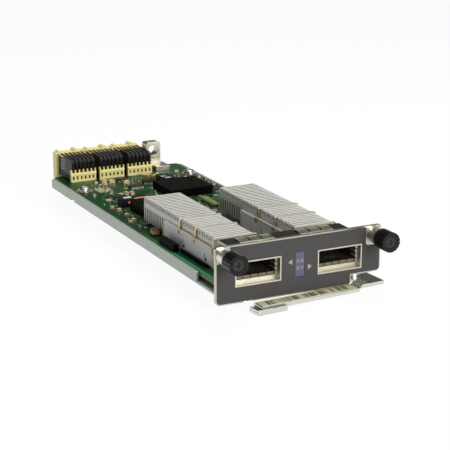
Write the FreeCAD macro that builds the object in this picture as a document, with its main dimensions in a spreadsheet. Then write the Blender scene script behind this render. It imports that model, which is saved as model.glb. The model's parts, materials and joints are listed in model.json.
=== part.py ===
import FreeCAD, Part
import os
import Sketcher

# Two-port line card for a network switch.
# Frame: X to the right along the faceplate, Y from the faceplate towards the rear connectors, Z up.
# X = 0 is the middle of the faceplate, Y = 0 its rear face, Z = 0 its lower edge.

doc = FreeCAD.newDocument("SwitchLineCard")
sheet = doc.addObject("Spreadsheet::Sheet", "Size")

SIZES = {
    "panel_width": 72.0,
    "panel_height": 23.0,
    "panel_thickness": 1.2,
    "panel_top_radius": 0.8,
    "panel_low_radius": 2.0,
    "notch_width": 13.2,
    "notch_height": 4.05,
    "notch_side_radius": 2.4,
    "flange_left_inset": 5.5,
    "flange_right_inset": 14.0,
    "flange_depth": 7.4,
    "flange_thickness": 1.0,
    "port_inset": 18.2,
    "port_width": 20.0,
    "port_height": 10.1,
    "port_base": 6.1,
    "window_width": 4.2,
    "window_height": 9.9,
    "window_base": 6.7,
    "screw_inset": 3.4,
    "screw_drop": 3.7,
    "tray_left_inset": 1.3,
    "tray_right_inset": 3.6,
    "tray_base": 3.4,
    "tray_sheet": 1.0,
    "tray_length": 177.8,
    "tray_wall_start": 17.8,
    "tray_corner_radius": 1.6,
    "tray_foot_drop": 2.6,
    "tray_foot_gap": 2.8,
    "tray_nick_place": 148.3,
    "tray_nick_length": 4.1,
    "tray_nick_height": 0.7,
    "board_thickness": 1.6,
    "board_lift": 2.0,
    "board_gap": 0.2,
    "board_front": 3.0,
    "board_length": 175.8,
    "board_corner": 1.5,
    "standoff_radius": 2.6,
    "post_inset": 5.4,
    "front_post_y": 12.0,
    "middle_post_y": 92.0,
    "board_screw_radius": 1.2,
    "screw_play": 0.15,
    "pan_head_radius": 2.7,
    "pan_head_height": 1.9,
    "rear_screw_y": 149.8,
    "left_screw_inset": 5.7,
    "right_screw_inset": 4.2,
    "right_screw_y": 158.3,
    "cage_width": 19.8,
    "cage_height": 7.15,
    "cage_sheet": 0.5,
    "cage_lift": 0.5,
    "cage_front": 2.9,
    "cage_length": 61.6,
    "cage_window_width": 14.8,
    "cage_window_front": 4.0,
    "cage_window_rear": 4.5,
    "cage_floor_slot_length": 19.0,
    "cage_floor_slot_rear": 1.5,
    "cage_floor_slot_width": 14.4,
    "cage_seam_height": 5.6,
    "cage_foot_length": 1.2,
    "cage_foot_inset": 0.5,
    "cage_foot_count": 5,
    "cage_slot_level": 2.2,
    "cage_slot_length": 1.8,
    "cage_slot_width": 0.5,
    "frame_gap": 0.15,
    "frame_wall": 0.5,
    "frame_depth": 3.8,
    "frame_web_side": 0.95,
    "frame_web_low": 3.05,
    "frame_web_top": 0.85,
    "finger_length": 3.4,
    "finger_thickness": 0.2,
    "finger_width": 2.9,
    "finger_spacing": 3.4,
    "floor_finger_count": 5,
    "side_finger_width": 1.5,
    "side_finger_spacing": 1.9,
    "side_finger_count": 3,
    "host_rear": 6.0,
    "host_length": 13.0,
    "host_width": 13.0,
    "host_height": 5.2,
    "host_slot_height": 1.0,
    "host_slot_depth": 9.0,
    "sink_width": 17.3,
    "sink_base": 2.2,
    "fin_height": 2.1,
    "fin_thickness": 0.9,
    "fin_spacing": 2.15,
    "fin_chamfer": 0.5,
    "front_fins": 7,
    "middle_fins": 6,
    "rear_fins": 17,
    "hanging_fins": 10,
    "hanging_fin_height": 5.75,
    "hanging_gap": 2.05,
    "strap_gap": 3.0,
    "pedestal_width": 13.6,
    "pedestal_gap": 2.0,
    "clip_thickness": 0.4,
    "clip_side_gap": 0.3,
    "clip_cage_gap": 0.1,
    "clip_hook_drop": 1.65,
    "strap_width": 1.8,
    "strap_drop": 0.05,
    "strap_air": 0.15,
    "connector_inset": 11.5,
    "connector_spacing": 14.4,
    "contact_spacing": 2.0,
    "contact_columns": 6,
    "organizer_width": 12.6,
    "organizer_front": 165.4,
    "organizer_thickness": 1.4,
    "organizer_height": 4.4,
    "organizer_bar_height": 0.8,
    "organizer_bar_level": 3.3,
    "organizer_bar_proud": 0.4,
    "organizer_tooth_width": 0.6,
    "organizer_tooth_height": 1.5,
    "organizer_hole_width": 0.9,
    "organizer_hole_height": 1.5,
    "organizer_hole_level": 1.2,
    "wafer_gap": 0.1,
    "wafer_thickness": 1.6,
    "wafer_height": 10.7,
    "wafer_length": 16.3,
    "wafer_step": 0.6,
    "wafer_step_length": 7.2,
    "wafer_nose": 1.4,
    "wafer_nose_level": 6.0,
    "wafer_round": 1.4,
    "housing_gap": 0.2,
    "housing_width": 13.8,
    "housing_depth": 4.5,
    "housing_drop": 2.6,
    "housing_height": 13.0,
    "housing_slot_width": 1.0,
    "housing_slot_depth": 3.0,
    "housing_slot_edge": 1.8,
    "tine_width": 0.3,
    "tine_height": 0.5,
    "tine_length": 7.1,
    "big_key_radius": 1.3,
    "small_key_radius": 0.8,
    "key_length": 4.5,
    "big_key_x": 3.2,
    "small_key_x": 5.0,
    "guide_gap": 6.8,
    "guide_width": 7.7,
    "guide_front": 173.8,
    "guide_thickness": 5.0,
    "guide_height": 13.0,
    "guide_round": 1.4,
    "guide_hole_radius": 2.5,
    "guide_hole_level": 9.1,
    "guide_foot_offset": 2.6,
    "guide_foot_width": 7.2,
    "guide_foot_depth": 6.4,
    "guide_foot_height": 2.4,
    "guide_groove": 0.4,
    "guide_groove_height": 0.8,
    "guide_groove_level": 4.6,
    "pivot_inset": 7.5,
    "pivot_y": 6.8,
    "lever_rest_angle": 4.2,
    "lever_sheet": 1.0,
    "lever_arm_drop": 0.4,
    "lever_tab_rise": 0.8,
    "lever_finger_drop": 1.0,
    "lever_arm_front": 11.6,
    "lever_arm_rear": 5.5,
    "lever_arm_left": 49.5,
    "lever_tip_left": 51.9,
    "lever_finger_right": 38.9,
    "lever_finger_front": 12.9,
    "lever_finger_rear": 6.5,
    "lever_joggle_left": 4.6,
    "lever_joggle_right": 3.4,
    "lever_tab_right": 6.8,
    "lever_tab_rear": 4.5,
    "lever_lip_height": 0.6,
    "lever_tip_lip": 1.2,
    "lever_lip_thickness": 0.8,
    "lever_corner": 2.4,
    "label_thickness": 0.12,
    "label_left": 48.9,
    "label_right": 5.6,
    "label_front": 11.3,
    "label_rear": 5.7,
    "stud_shank": 1.55,
    "stud_play": 0.05,
    "stud_head_radius": 3.0,
    "stud_head_height": 0.8,
    "stud_air": 0.1,
    "stud_shoulder_radius": 2.8,
    "ferrule_radius": 3.2,
    "ferrule_length": 6.7,
    "ferrule_shank": 2.1,
    "ferrule_play": 0.1,
    "press_gap": 0.02,
    "knob_radius": 4.0,
    "knob_length": 6.6,
    "knob_skirt_radius": 3.5,
    "knob_out": 6.3,
    "knob_cavity": 4.9,
    "knob_groove_depth": 0.3,
    "knob_groove_width": 0.8,
    "knob_groove_count": 16,
    "knob_groove_stop": 1.0,
    "screw_shank": 1.1,
    "screw_thread": 1.5,
    "screw_thread_start": 0.3,
    "screw_tip": 4.0,
    "screw_head_radius": 2.3,
    "screw_head_sink": 0.2,
    "washer_radius": 3.2,
    "washer_thickness": 0.5,
    "washer_play": 0.05,
    "washer_air": 0.1,
    "spring_radius": 2.4,
    "spring_wire": 0.35,
    "spring_turns": 3,
    "spring_steps": 9,
    "spring_air": 0.1,
    "lens_gap": 0.1,
    "lens_inset": 0.05,
    "lens_rim": 0.6,
    "lens_rim_thickness": 1.0,
    "lens_pipe_width": 3.6,
    "lens_pipe_reach": 9.0,
    "lens_pipe_height": 1.4,
    "strip_thickness": 0.15,
    "strip_start": 0.6,
    "strip_depth": 6.0,
    "strip_rise": 0.5,
    "strip_finger": 4.4,
    "strip_spacing": 5.1,
    "strip_left_inset": 5.9,
    "strip_right_inset": 6.2,
    "strip_count": 3,
}

# Blocks that stand on the board, by piece: what each is measured from, across from the board's left edge,
# its distance from there, width, depth and height. Blocks measured from "front" and "sinks" lie behind
# the board's front edge and the heat sinks, from "cages" behind the cages, and from "combs" ahead of the
# rear connectors.
BOARD_BLOCKS = {
    "power_module": {"power_module": ("combs", 34.3, 25.8, 21.2, 20.4, 3.7)},
    "output_module": {"output_module": ("sinks", 10.5, 5.2, 13.5, 18.2, 3.6)},
    "signal_relay": {
        "signal_relay": ("sinks", 8.6, 27.7, 12.9, 5.7, 3.7),
        "rear_relay": ("combs", 40.3, 15.6, 6.2, 9.2, 3.7),
    },
    "board_header": {
        "board_header": ("front", 1.2, 41.5, 2.5, 14.0, 3.1),
        "edge_strip": ("front", 4.1, 17.5, 1.1, 23.0, 1.2),
    },
    "board_chips": {
        "rear_driver": ("combs", 33.5, 14.8, 4.8, 2.2, 1.7),
        "rear_regulator": ("combs", 24.7, 19.4, 6.4, 3.0, 1.1),
        "left_logic": ("combs", 10.5, 31.9, 5.0, 5.0, 1.1),
        "connector_logic": ("combs", 23.9, 6.4, 5.6, 2.0, 1.4),
        "right_memory": ("combs", 57.0, 37.4, 5.2, 7.0, 1.2),
        "middle_logic": ("sinks", 29.0, 8.2, 7.0, 7.0, 1.1),
        "right_logic": ("sinks", 50.0, 4.2, 6.0, 6.0, 1.1),
    },
    "board_capacitors": {
        "driver_capacitor": ("combs", 38.3, 3.9, 1.8, 3.0, 1.4),
        "white_capacitor": ("combs", 38.7, 7.2, 2.0, 2.4, 2.0),
        "orange_capacitor": ("combs", 40.9, 9.2, 2.6, 2.3, 2.2),
        "middle_capacitor": ("combs", 25.0, 11.4, 3.0, 2.2, 1.6),
        "tan_capacitor_1": ("combs", 16.5, 4.4, 2.5, 3.0, 1.5),
        "tan_capacitor_2": ("combs", 19.6, 6.7, 2.5, 2.5, 1.5),
        "relay_capacitor_1": ("combs", 17.9, 30.4, 1.6, 2.2, 1.5),
        "relay_capacitor_2": ("combs", 20.5, 30.6, 1.6, 2.2, 1.5),
        "edge_capacitor_1": ("sinks", 3.4, 28.8, 2.0, 1.4, 1.0),
        "edge_capacitor_2": ("sinks", 4.2, 22.6, 2.2, 2.2, 1.2),
        "edge_capacitor_3": ("sinks", 4.6, 14.0, 1.6, 2.4, 1.0),
        "edge_capacitor_4": ("sinks", 4.4, 5.7, 1.6, 2.4, 1.0),
    },
    "board_inductors": {
        "flat_inductor": ("sinks", 45.0, 10.7, 3.0, 14.0, 1.8),
        "wound_inductor": ("cages", 3.1, 3.5, 3.2, 4.0, 3.0),
    },
}
BLOCK_MEASURES = ("across", "away", "width", "depth", "height")
for blocks in BOARD_BLOCKS.values():
    for block, (beside, *measures) in blocks.items():
        for measure, value in zip(BLOCK_MEASURES, measures):
            SIZES[f"{block}_{measure}"] = value

for row, (name, value) in enumerate(SIZES.items(), start=1):
    sheet.set(f"A{row}", name)
    sheet.set(f"B{row}", str(value))
    sheet.setAlias(f"B{row}", name)
doc.recompute()

# Levels and places that several pieces share, each worked out from the sheet.
BOARD_LOW = "(Size.tray_base + Size.tray_sheet + Size.board_lift)"
BOARD_TOP = f"({BOARD_LOW} + Size.board_thickness)"
TRAY_LEFT = "(-Size.panel_width / 2 + Size.tray_left_inset)"
TRAY_RIGHT = "(Size.panel_width / 2 - Size.tray_right_inset)"
BOARD_LEFT = f"({TRAY_LEFT} + Size.tray_sheet + Size.board_gap)"
BOARD_RIGHT = f"({TRAY_RIGHT} - Size.tray_sheet - Size.board_gap)"
BOARD_REAR = "(Size.board_front + Size.board_length)"
CAGE_LOW = f"({BOARD_TOP} + Size.cage_lift)"
CAGE_TOP = f"({CAGE_LOW} + Size.cage_height)"
CAGE_REAR = "(Size.cage_front + Size.cage_length)"
SINK_TOP = f"({CAGE_TOP} + Size.sink_base + Size.fin_height)"
HANGING_START = f"({CAGE_REAR} + Size.hanging_gap)"
SINK_REAR = f"({HANGING_START} + (Size.hanging_fins - 1) * Size.fin_spacing + Size.fin_thickness)"
REAR_FINS = f"({SINK_REAR} - Size.fin_thickness - (Size.rear_fins - 1) * Size.fin_spacing)"
MIDDLE_FINS = f"({REAR_FINS} - Size.strap_gap - Size.fin_thickness - (Size.middle_fins - 1) * Size.fin_spacing)"
SINK_FRONT = f"({MIDDLE_FINS} - Size.strap_gap - Size.fin_thickness - (Size.front_fins - 1) * Size.fin_spacing)"
WINDOW_START = f"({SINK_FRONT} + Size.cage_window_front)"
WINDOW_END = f"({CAGE_REAR} - Size.cage_window_rear)"
FRONT_STRAP = f"({SINK_FRONT} - Size.strap_air - Size.strap_width / 2)"
MIDDLE_STRAP = f"({MIDDLE_FINS} - Size.strap_gap / 2)"
REAR_STRAP = f"({REAR_FINS} - Size.strap_gap / 2)"
ORGANIZER_REAR = "(Size.organizer_front + Size.organizer_thickness)"
WAFER_FRONT = f"({ORGANIZER_REAR} + Size.wafer_gap)"
WAFER_REAR = f"({WAFER_FRONT} + Size.wafer_length)"
HOUSING_FRONT = f"({WAFER_REAR} + Size.housing_gap)"
HOUSING_LOW = f"({BOARD_TOP} - Size.housing_drop)"
FERRULE_FRONT = "(-Size.panel_thickness - Size.ferrule_length)"
KNOB_REAR = "(-Size.panel_thickness - Size.knob_out)"
KNOB_FRONT = f"({KNOB_REAR} - Size.knob_length)"
KNOB_FLOOR = f"({KNOB_REAR} - Size.knob_cavity)"
SCREW_X = "(Size.panel_width / 2 - Size.screw_inset)"
SCREW_Z = "(Size.panel_height - Size.screw_drop)"
PORT_X = "(Size.panel_width / 2 - Size.port_inset)"
NOTCH_X = "(Size.panel_width / 2 - Size.notch_width)"
FLANGE_LEFT = "(-Size.panel_width / 2 + Size.flange_left_inset)"
FLANGE_RIGHT = "(Size.panel_width / 2 - Size.flange_right_inset)"
STRIP_LENGTH = "((Size.strip_count - 1) * Size.strip_spacing + Size.strip_finger)"
PIVOT_X = "(Size.panel_width / 2 - Size.pivot_inset)"
FIRST_CONNECTOR = f"({TRAY_LEFT} + Size.connector_inset)"
GUIDE_X = f"({FIRST_CONNECTOR} + 2 * Size.connector_spacing + Size.guide_gap)"

pieces = []


def number(expression):
    """Value of a sheet expression, in millimetres."""
    return float(sheet.evalExpression(expression))


def start_body(label):
    """A body that becomes one node of the part."""
    body = doc.addObject("PartDesign::Body", label)
    body.Label = label
    pieces.append(body)
    return body


def datum(body, role):
    """One of the body's own origin planes or axes."""
    return next(item for item in body.Origin.OriginFeatures if item.Role == role)


def start_sketch(body, name, plane, lift="0"):
    """Sketch on an origin plane of the body, lifted along the plane's normal."""
    sketch = body.newObject("Sketcher::SketchObject", f"{body.Label}_{name}")
    sketch.AttachmentSupport = [(datum(body, plane), "")]
    sketch.MapMode = "FlatFace"
    sketch.setExpression("AttachmentOffset.Base.z", lift)
    return sketch


def pin_point(sketch, geometry, point, across, up):
    """Dimension one point of the sketch from the sketch's origin."""
    for kind, expression in (("DistanceX", across), ("DistanceY", up)):
        index = sketch.addConstraint(Sketcher.Constraint(kind, -1, 1, geometry, point, number(expression)))
        sketch.setExpression(f"Constraints[{index}]", expression)


def draw_polygon(sketch, corners):
    """Closed outline whose corners are (across, up) pairs of sheet expressions."""
    spots = [FreeCAD.Vector(number(across), number(up), 0) for across, up in corners]
    first = sketch.GeometryCount
    count = len(spots)
    for i, spot in enumerate(spots):
        sketch.addGeometry(Part.LineSegment(spot, spots[(i + 1) % count]), False)
    for i in range(count):
        sketch.addConstraint(Sketcher.Constraint("Coincident", first + i, 2, first + (i + 1) % count, 1))
    for i, (across, up) in enumerate(corners):
        pin_point(sketch, first + i, 1, across, up)


def draw_box(sketch, left, right, low, high):
    """Rectangle between four sheet expressions."""
    draw_polygon(sketch, [(left, low), (right, low), (right, high), (left, high)])


def draw_circle(sketch, across, up, radius):
    """Circle whose centre and radius are sheet expressions."""
    centre = FreeCAD.Vector(number(across), number(up), 0)
    index = sketch.addGeometry(Part.Circle(centre, FreeCAD.Vector(0, 0, 1), number(radius)), False)
    pin_point(sketch, index, 3, across, up)
    size = sketch.addConstraint(Sketcher.Constraint("Radius", index, number(radius)))
    sketch.setExpression(f"Constraints[{size}]", radius)


def draw_hexagon(sketch, across, up, radius):
    """Hexagon whose corners lie at the radius from its centre."""
    draw_polygon(sketch, [
        (f"{across} + {radius} * cos({60 * turn} deg)", f"{up} + {radius} * sin({60 * turn} deg)")
        for turn in range(6)
    ])


def finish_feature(body, feature):
    """Make the feature the body's tip and rebuild."""
    body.Tip = feature
    doc.recompute()
    if feature.Shape.isNull() or not feature.Shape.isValid():
        raise RuntimeError(f"{feature.Name} has no valid shape")
    return feature


def pad(body, sketch, length, reverse=False):
    """Add material along the sketch's normal, or against it."""
    feature = body.newObject("PartDesign::Pad", f"{sketch.Name}_pad")
    feature.Profile = sketch
    feature.setExpression("Length", length)
    feature.Reversed = reverse
    return finish_feature(body, feature)


def pocket(body, sketch, length, along_normal=False):
    """Cut against the sketch's normal, or along it, and make sure that something went."""
    before = body.Shape.Volume
    feature = body.newObject("PartDesign::Pocket", f"{sketch.Name}_pocket")
    feature.Profile = sketch
    feature.setExpression("Length", length)
    feature.Reversed = along_normal
    finish_feature(body, feature)
    if body.Shape.Volume >= before - 1e-6:
        raise RuntimeError(f"{feature.Name} cuts nothing")
    return feature


def repeat(body, originals, role, spacing, count):
    """Row of copies along one of the body's axes."""
    feature = body.newObject("PartDesign::LinearPattern", f"{originals[-1].Name}_row")
    feature.Originals = originals
    feature.Direction = (datum(body, role), [""])
    feature.Mode = "Spacing"
    feature.setExpression("Offset", spacing)
    feature.setExpression("Occurrences", count)
    return finish_feature(body, feature)


def round_edges(body, radius, chosen, kind="Fillet"):
    """Fillet or chamfer the edges that the test picks from the body's tip."""
    base = body.Tip
    names = [f"Edge{i}" for i, edge in enumerate(base.Shape.Edges, start=1) if chosen(edge)]
    if not names:
        raise RuntimeError(f"{body.Label} has no edge to finish")
    feature = body.newObject(f"PartDesign::{kind}", f"{body.Label}_{kind}")
    feature.Base = (base, names)
    feature.setExpression("Radius" if kind == "Fillet" else "Size", radius)
    return finish_feature(body, feature)


def edge_along(edge, axis, **places):
    """True where a straight edge runs along the axis and its middle is at the places given."""
    ends = [vertex.Point for vertex in edge.Vertexes]
    if len(ends) != 2 or edge.Curve.TypeId != "Part::GeomLine":
        return False
    run = ends[1] - ends[0]
    middle = (ends[0] + ends[1]) / 2
    if abs(getattr(run, axis)) < run.Length * 0.999:
        return False
    return all(abs(getattr(middle, key) - value) < 0.01 for key, value in places.items())


def revolve(body, sketch, role="Y_Axis"):
    """Turn the profile a full circle about one of the body's axes."""
    feature = body.newObject("PartDesign::Revolution", f"{sketch.Name}_turned")
    feature.Profile = sketch
    feature.ReferenceAxis = (datum(body, role), [""])
    feature.Angle = 360
    return finish_feature(body, feature)


def move(body, x="0", y="0", z="0"):
    """Place the body from the sheet."""
    for axis, expression in (("x", x), ("y", y), ("z", z)):
        body.setExpression(f"Placement.Base.{axis}", expression)


# Faceplate and what is set in it

def build_faceplate():
    """Folded plate with two port openings, the indicator window, the screw holes and a top flange."""
    body = start_body("faceplate")
    half = "Size.panel_width / 2"
    sketch = start_sketch(body, "outline", "XZ_Plane")
    draw_polygon(sketch, [
        (f"-{half}", "0"),
        (NOTCH_X, "0"),
        (NOTCH_X, "Size.notch_height"),
        (half, "Size.notch_height"),
        (half, "Size.panel_height"),
        (f"-{half}", "Size.panel_height"),
    ])
    for side in (-1, 1):
        middle = f"{side} * {PORT_X}"
        draw_box(
            sketch,
            f"{middle} - Size.port_width / 2",
            f"{middle} + Size.port_width / 2",
            "Size.port_base",
            "Size.port_base + Size.port_height",
        )
        draw_circle(sketch, f"{side} * {SCREW_X}", SCREW_Z, "Size.ferrule_shank + Size.press_gap")
    draw_box(
        sketch,
        "-Size.window_width / 2",
        "Size.window_width / 2",
        "Size.window_base",
        "Size.window_base + Size.window_height",
    )
    pad(body, sketch, "Size.panel_thickness")
    for radius, x, z in (
        ("Size.panel_low_radius", f"-{half}", "0"),
        ("Size.panel_low_radius", NOTCH_X, "0"),
        ("Size.notch_side_radius", half, "Size.notch_height"),
        ("Size.panel_top_radius", f"-{half}", "Size.panel_height"),
        ("Size.panel_top_radius", half, "Size.panel_height"),
    ):
        place_x, place_z = number(x), number(z)
        round_edges(body, radius, lambda edge: edge_along(edge, "y", x=place_x, z=place_z))
    flange = start_sketch(body, "flange", "YZ_Plane", FLANGE_LEFT)
    draw_box(
        flange,
        "-Size.panel_thickness / 2",
        "Size.flange_depth",
        "Size.panel_height - Size.flange_thickness",
        "Size.panel_height",
    )
    pad(body, flange, f"{FLANGE_RIGHT} - {FLANGE_LEFT}")
    return body


def build_indicator_lens():
    """Light guide that fills the window and stands on the board behind it."""
    body = start_body("indicator_lens")
    face = start_sketch(body, "face", "XZ_Plane")
    draw_box(
        face,
        "-Size.window_width / 2 + Size.lens_gap",
        "Size.window_width / 2 - Size.lens_gap",
        "Size.window_base + Size.lens_gap",
        "Size.window_base + Size.window_height - Size.lens_gap",
    )
    pad(body, face, "Size.panel_thickness - Size.lens_inset")
    rim = start_sketch(body, "rim", "XZ_Plane")
    draw_box(
        rim,
        "-Size.window_width / 2 - Size.lens_rim",
        "Size.window_width / 2 + Size.lens_rim",
        "Size.window_base - Size.lens_rim",
        "Size.window_base + Size.window_height + Size.lens_rim",
    )
    pad(body, rim, "Size.lens_rim_thickness", reverse=True)
    pipe = start_sketch(body, "pipe", "XY_Plane", BOARD_TOP)
    draw_box(
        pipe,
        "-Size.lens_pipe_width / 2",
        "Size.lens_pipe_width / 2",
        "Size.lens_rim_thickness / 2",
        "Size.lens_pipe_reach",
    )
    pad(body, pipe, "Size.lens_pipe_height")


def build_gasket_strip(label, left):
    """Row of sprung contact fingers on the faceplate's top flange."""
    body = start_body(label)
    base = start_sketch(body, "base", "XY_Plane", "Size.panel_height")
    draw_box(
        base,
        left,
        f"{left} + {STRIP_LENGTH}",
        "Size.strip_start",
        "Size.strip_start + Size.strip_depth / 5",
    )
    pad(body, base, "Size.strip_thickness")
    finger = start_sketch(body, "finger", "YZ_Plane", left)
    low = "Size.panel_height"
    high = "Size.panel_height + Size.strip_rise"
    t = "Size.strip_thickness"
    y = "Size.strip_start"
    d = "Size.strip_depth"
    draw_polygon(finger, [
        (y, low),
        (f"{y} + {d} / 5", low),
        (f"{y} + {d} / 2", f"{high} - {t}"),
        (f"{y} + {d} * 3 / 4", f"{high} - {t}"),
        (f"{y} + {d}", low),
        (f"{y} + {d}", f"{low} + {t}"),
        (f"{y} + {d} * 3 / 4", high),
        (f"{y} + {d} / 2", high),
        (f"{y} + {d} / 5", f"{low} + {t}"),
        (y, f"{low} + {t}"),
    ])
    tongue = pad(body, finger, "Size.strip_finger")
    repeat(body, [tongue], "X_Axis", "Size.strip_spacing", "Size.strip_count")


# Tray, board and their fasteners

def screw_places():
    """Centres of the screws that hold the board on the tray."""
    return (
        (f"{TRAY_LEFT} + Size.left_screw_inset", "Size.rear_screw_y"),
        (f"{TRAY_RIGHT} - Size.right_screw_inset", "Size.right_screw_y"),
    )


def post_places():
    """Centres of the plain posts that carry the board where no screw holds it."""
    across = f"({TRAY_RIGHT} - Size.post_inset)"
    return [(f"{side} * {across}", y) for side in (-1, 1) for y in ("Size.front_post_y", "Size.middle_post_y")]


def build_tray():
    """Folded carrier: a floor, two side walls and a front foot behind the faceplate."""
    body = start_body("tray")
    profile = start_sketch(body, "profile", "XZ_Plane")
    left, right = TRAY_LEFT, TRAY_RIGHT
    base, t = "Size.tray_base", "Size.tray_sheet"
    draw_polygon(profile, [
        (left, base),
        (right, base),
        (right, BOARD_TOP),
        (f"{right} - {t}", BOARD_TOP),
        (f"{right} - {t}", f"{base} + {t}"),
        (f"{left} + {t}", f"{base} + {t}"),
        (f"{left} + {t}", BOARD_TOP),
        (left, BOARD_TOP),
    ])
    pad(body, profile, "Size.tray_length", reverse=True)
    clear = start_sketch(body, "clearance", "YZ_Plane", f"{left} - 1")
    draw_box(clear, "-1", "Size.tray_wall_start", f"{base} + {t}", f"{BOARD_TOP} + 1")
    pocket(body, clear, f"{right} - {left} + 2", along_normal=True)
    nick = start_sketch(body, "nick", "YZ_Plane", left)
    draw_box(
        nick,
        "Size.tray_nick_place",
        "Size.tray_nick_place + Size.tray_nick_length",
        f"{base} - 1",
        f"{base} + Size.tray_nick_height",
    )
    pocket(body, nick, t, along_normal=True)
    foot = start_sketch(body, "foot", "XZ_Plane")
    foot_end = f"{NOTCH_X} - Size.tray_foot_gap"
    draw_box(foot, f"{left} + {t}", foot_end, f"{base} - Size.tray_foot_drop", f"{base} + {t}")
    pad(body, foot, t, reverse=True)
    rear, top = number("Size.tray_length"), number(BOARD_TOP)
    round_edges(body, "Size.tray_corner_radius", lambda edge: edge_along(edge, "x", y=rear, z=top))
    front = number("Size.tray_wall_start")
    round_edges(body, "Size.tray_corner_radius", lambda edge: edge_along(edge, "x", y=front, z=top))


def build_board():
    """Printed circuit board with clipped corners and its screw holes."""
    body = start_body("circuit_board")
    sketch = start_sketch(body, "outline", "XY_Plane", BOARD_LOW)
    c = "Size.board_corner"
    draw_polygon(sketch, [
        (BOARD_LEFT, f"Size.board_front + {c}"),
        (f"{BOARD_LEFT} + {c}", "Size.board_front"),
        (f"{BOARD_RIGHT} - {c}", "Size.board_front"),
        (BOARD_RIGHT, f"Size.board_front + {c}"),
        (BOARD_RIGHT, f"{BOARD_REAR} - {c}"),
        (f"{BOARD_RIGHT} - {c}", BOARD_REAR),
        (f"{BOARD_LEFT} + {c}", BOARD_REAR),
        (BOARD_LEFT, f"{BOARD_REAR} - {c}"),
    ])
    for x, y in screw_places():
        draw_circle(sketch, x, y, "Size.board_screw_radius + Size.screw_play")
    pad(body, sketch, "Size.board_thickness")


def build_standoffs():
    """Hexagonal posts on the tray floor: threaded ones under the screws, plain ones elsewhere."""
    body = start_body("board_standoffs")
    sketch = start_sketch(body, "rings", "XY_Plane", "Size.tray_base + Size.tray_sheet")
    for x, y in screw_places():
        draw_hexagon(sketch, x, y, "Size.standoff_radius")
        draw_circle(sketch, x, y, "Size.board_screw_radius + Size.screw_play")
    for x, y in post_places():
        draw_hexagon(sketch, x, y, "Size.standoff_radius")
    pad(body, sketch, "Size.board_lift")


def build_board_screws():
    """Pan-head screws through the board into the posts."""
    body = start_body("board_screws")
    heads = start_sketch(body, "heads", "XY_Plane", BOARD_TOP)
    for x, y in screw_places():
        draw_circle(heads, x, y, "Size.pan_head_radius")
    pad(body, heads, "Size.pan_head_height")
    shanks = start_sketch(body, "shanks", "XY_Plane", BOARD_TOP)
    for x, y in screw_places():
        draw_circle(shanks, x, y, "Size.board_screw_radius")
    pad(body, shanks, "Size.board_thickness + Size.board_lift * 0.9", reverse=True)


def block_front(block, beside):
    """Front of a block, worked out from the piece that it stands beside."""
    if beside == "combs":
        return f"(Size.organizer_front - Size.{block}_away - Size.{block}_depth)"
    edges = {"front": "Size.board_front", "cages": CAGE_REAR, "sinks": SINK_REAR}
    return f"({edges[beside]} + Size.{block}_away)"


def build_board_blocks(label, blocks):
    """Parts of one kind that stand on the board."""
    body = start_body(label)
    for block, (beside, *_) in blocks.items():
        sketch = start_sketch(body, block, "XY_Plane", BOARD_TOP)
        left = f"({BOARD_LEFT} + Size.{block}_across)"
        front = block_front(block, beside)
        draw_box(sketch, left, f"{left} + Size.{block}_width", front, f"{front} + Size.{block}_depth")
        pad(body, sketch, f"Size.{block}_height")


# Ports

def build_cage(label, side):
    """Folded sheet cage that guides a plug-in transceiver over the board."""
    body = start_body(label)
    half = "Size.cage_width / 2"
    t = "Size.cage_sheet"
    tube = start_sketch(body, "tube", "XZ_Plane", "-Size.cage_front")
    draw_box(tube, f"-{half}", half, CAGE_LOW, CAGE_TOP)
    draw_box(tube, f"-{half} + {t}", f"{half} - {t}", f"{CAGE_LOW} + {t}", f"{CAGE_TOP} - {t}")
    pad(body, tube, "Size.cage_length", reverse=True)
    back = start_sketch(body, "back", "XZ_Plane", f"-{CAGE_REAR}")
    draw_box(back, f"-{half}", half, CAGE_LOW, CAGE_TOP)
    pad(body, back, t)
    window = start_sketch(body, "window", "XY_Plane", CAGE_TOP)
    draw_box(
        window,
        "-Size.cage_window_width / 2",
        "Size.cage_window_width / 2",
        WINDOW_START,
        WINDOW_END,
    )
    pocket(body, window, t)
    floor = start_sketch(body, "floor_slot", "XY_Plane", f"{CAGE_LOW} + {t}")
    draw_box(
        floor,
        "-Size.cage_floor_slot_width / 2",
        "Size.cage_floor_slot_width / 2",
        f"{CAGE_REAR} - Size.cage_floor_slot_rear - Size.cage_floor_slot_length",
        f"{CAGE_REAR} - Size.cage_floor_slot_rear",
    )
    pocket(body, floor, t)
    add_cage_side_details(body)
    move(body, x=f"{side} * {PORT_X}")


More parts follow.
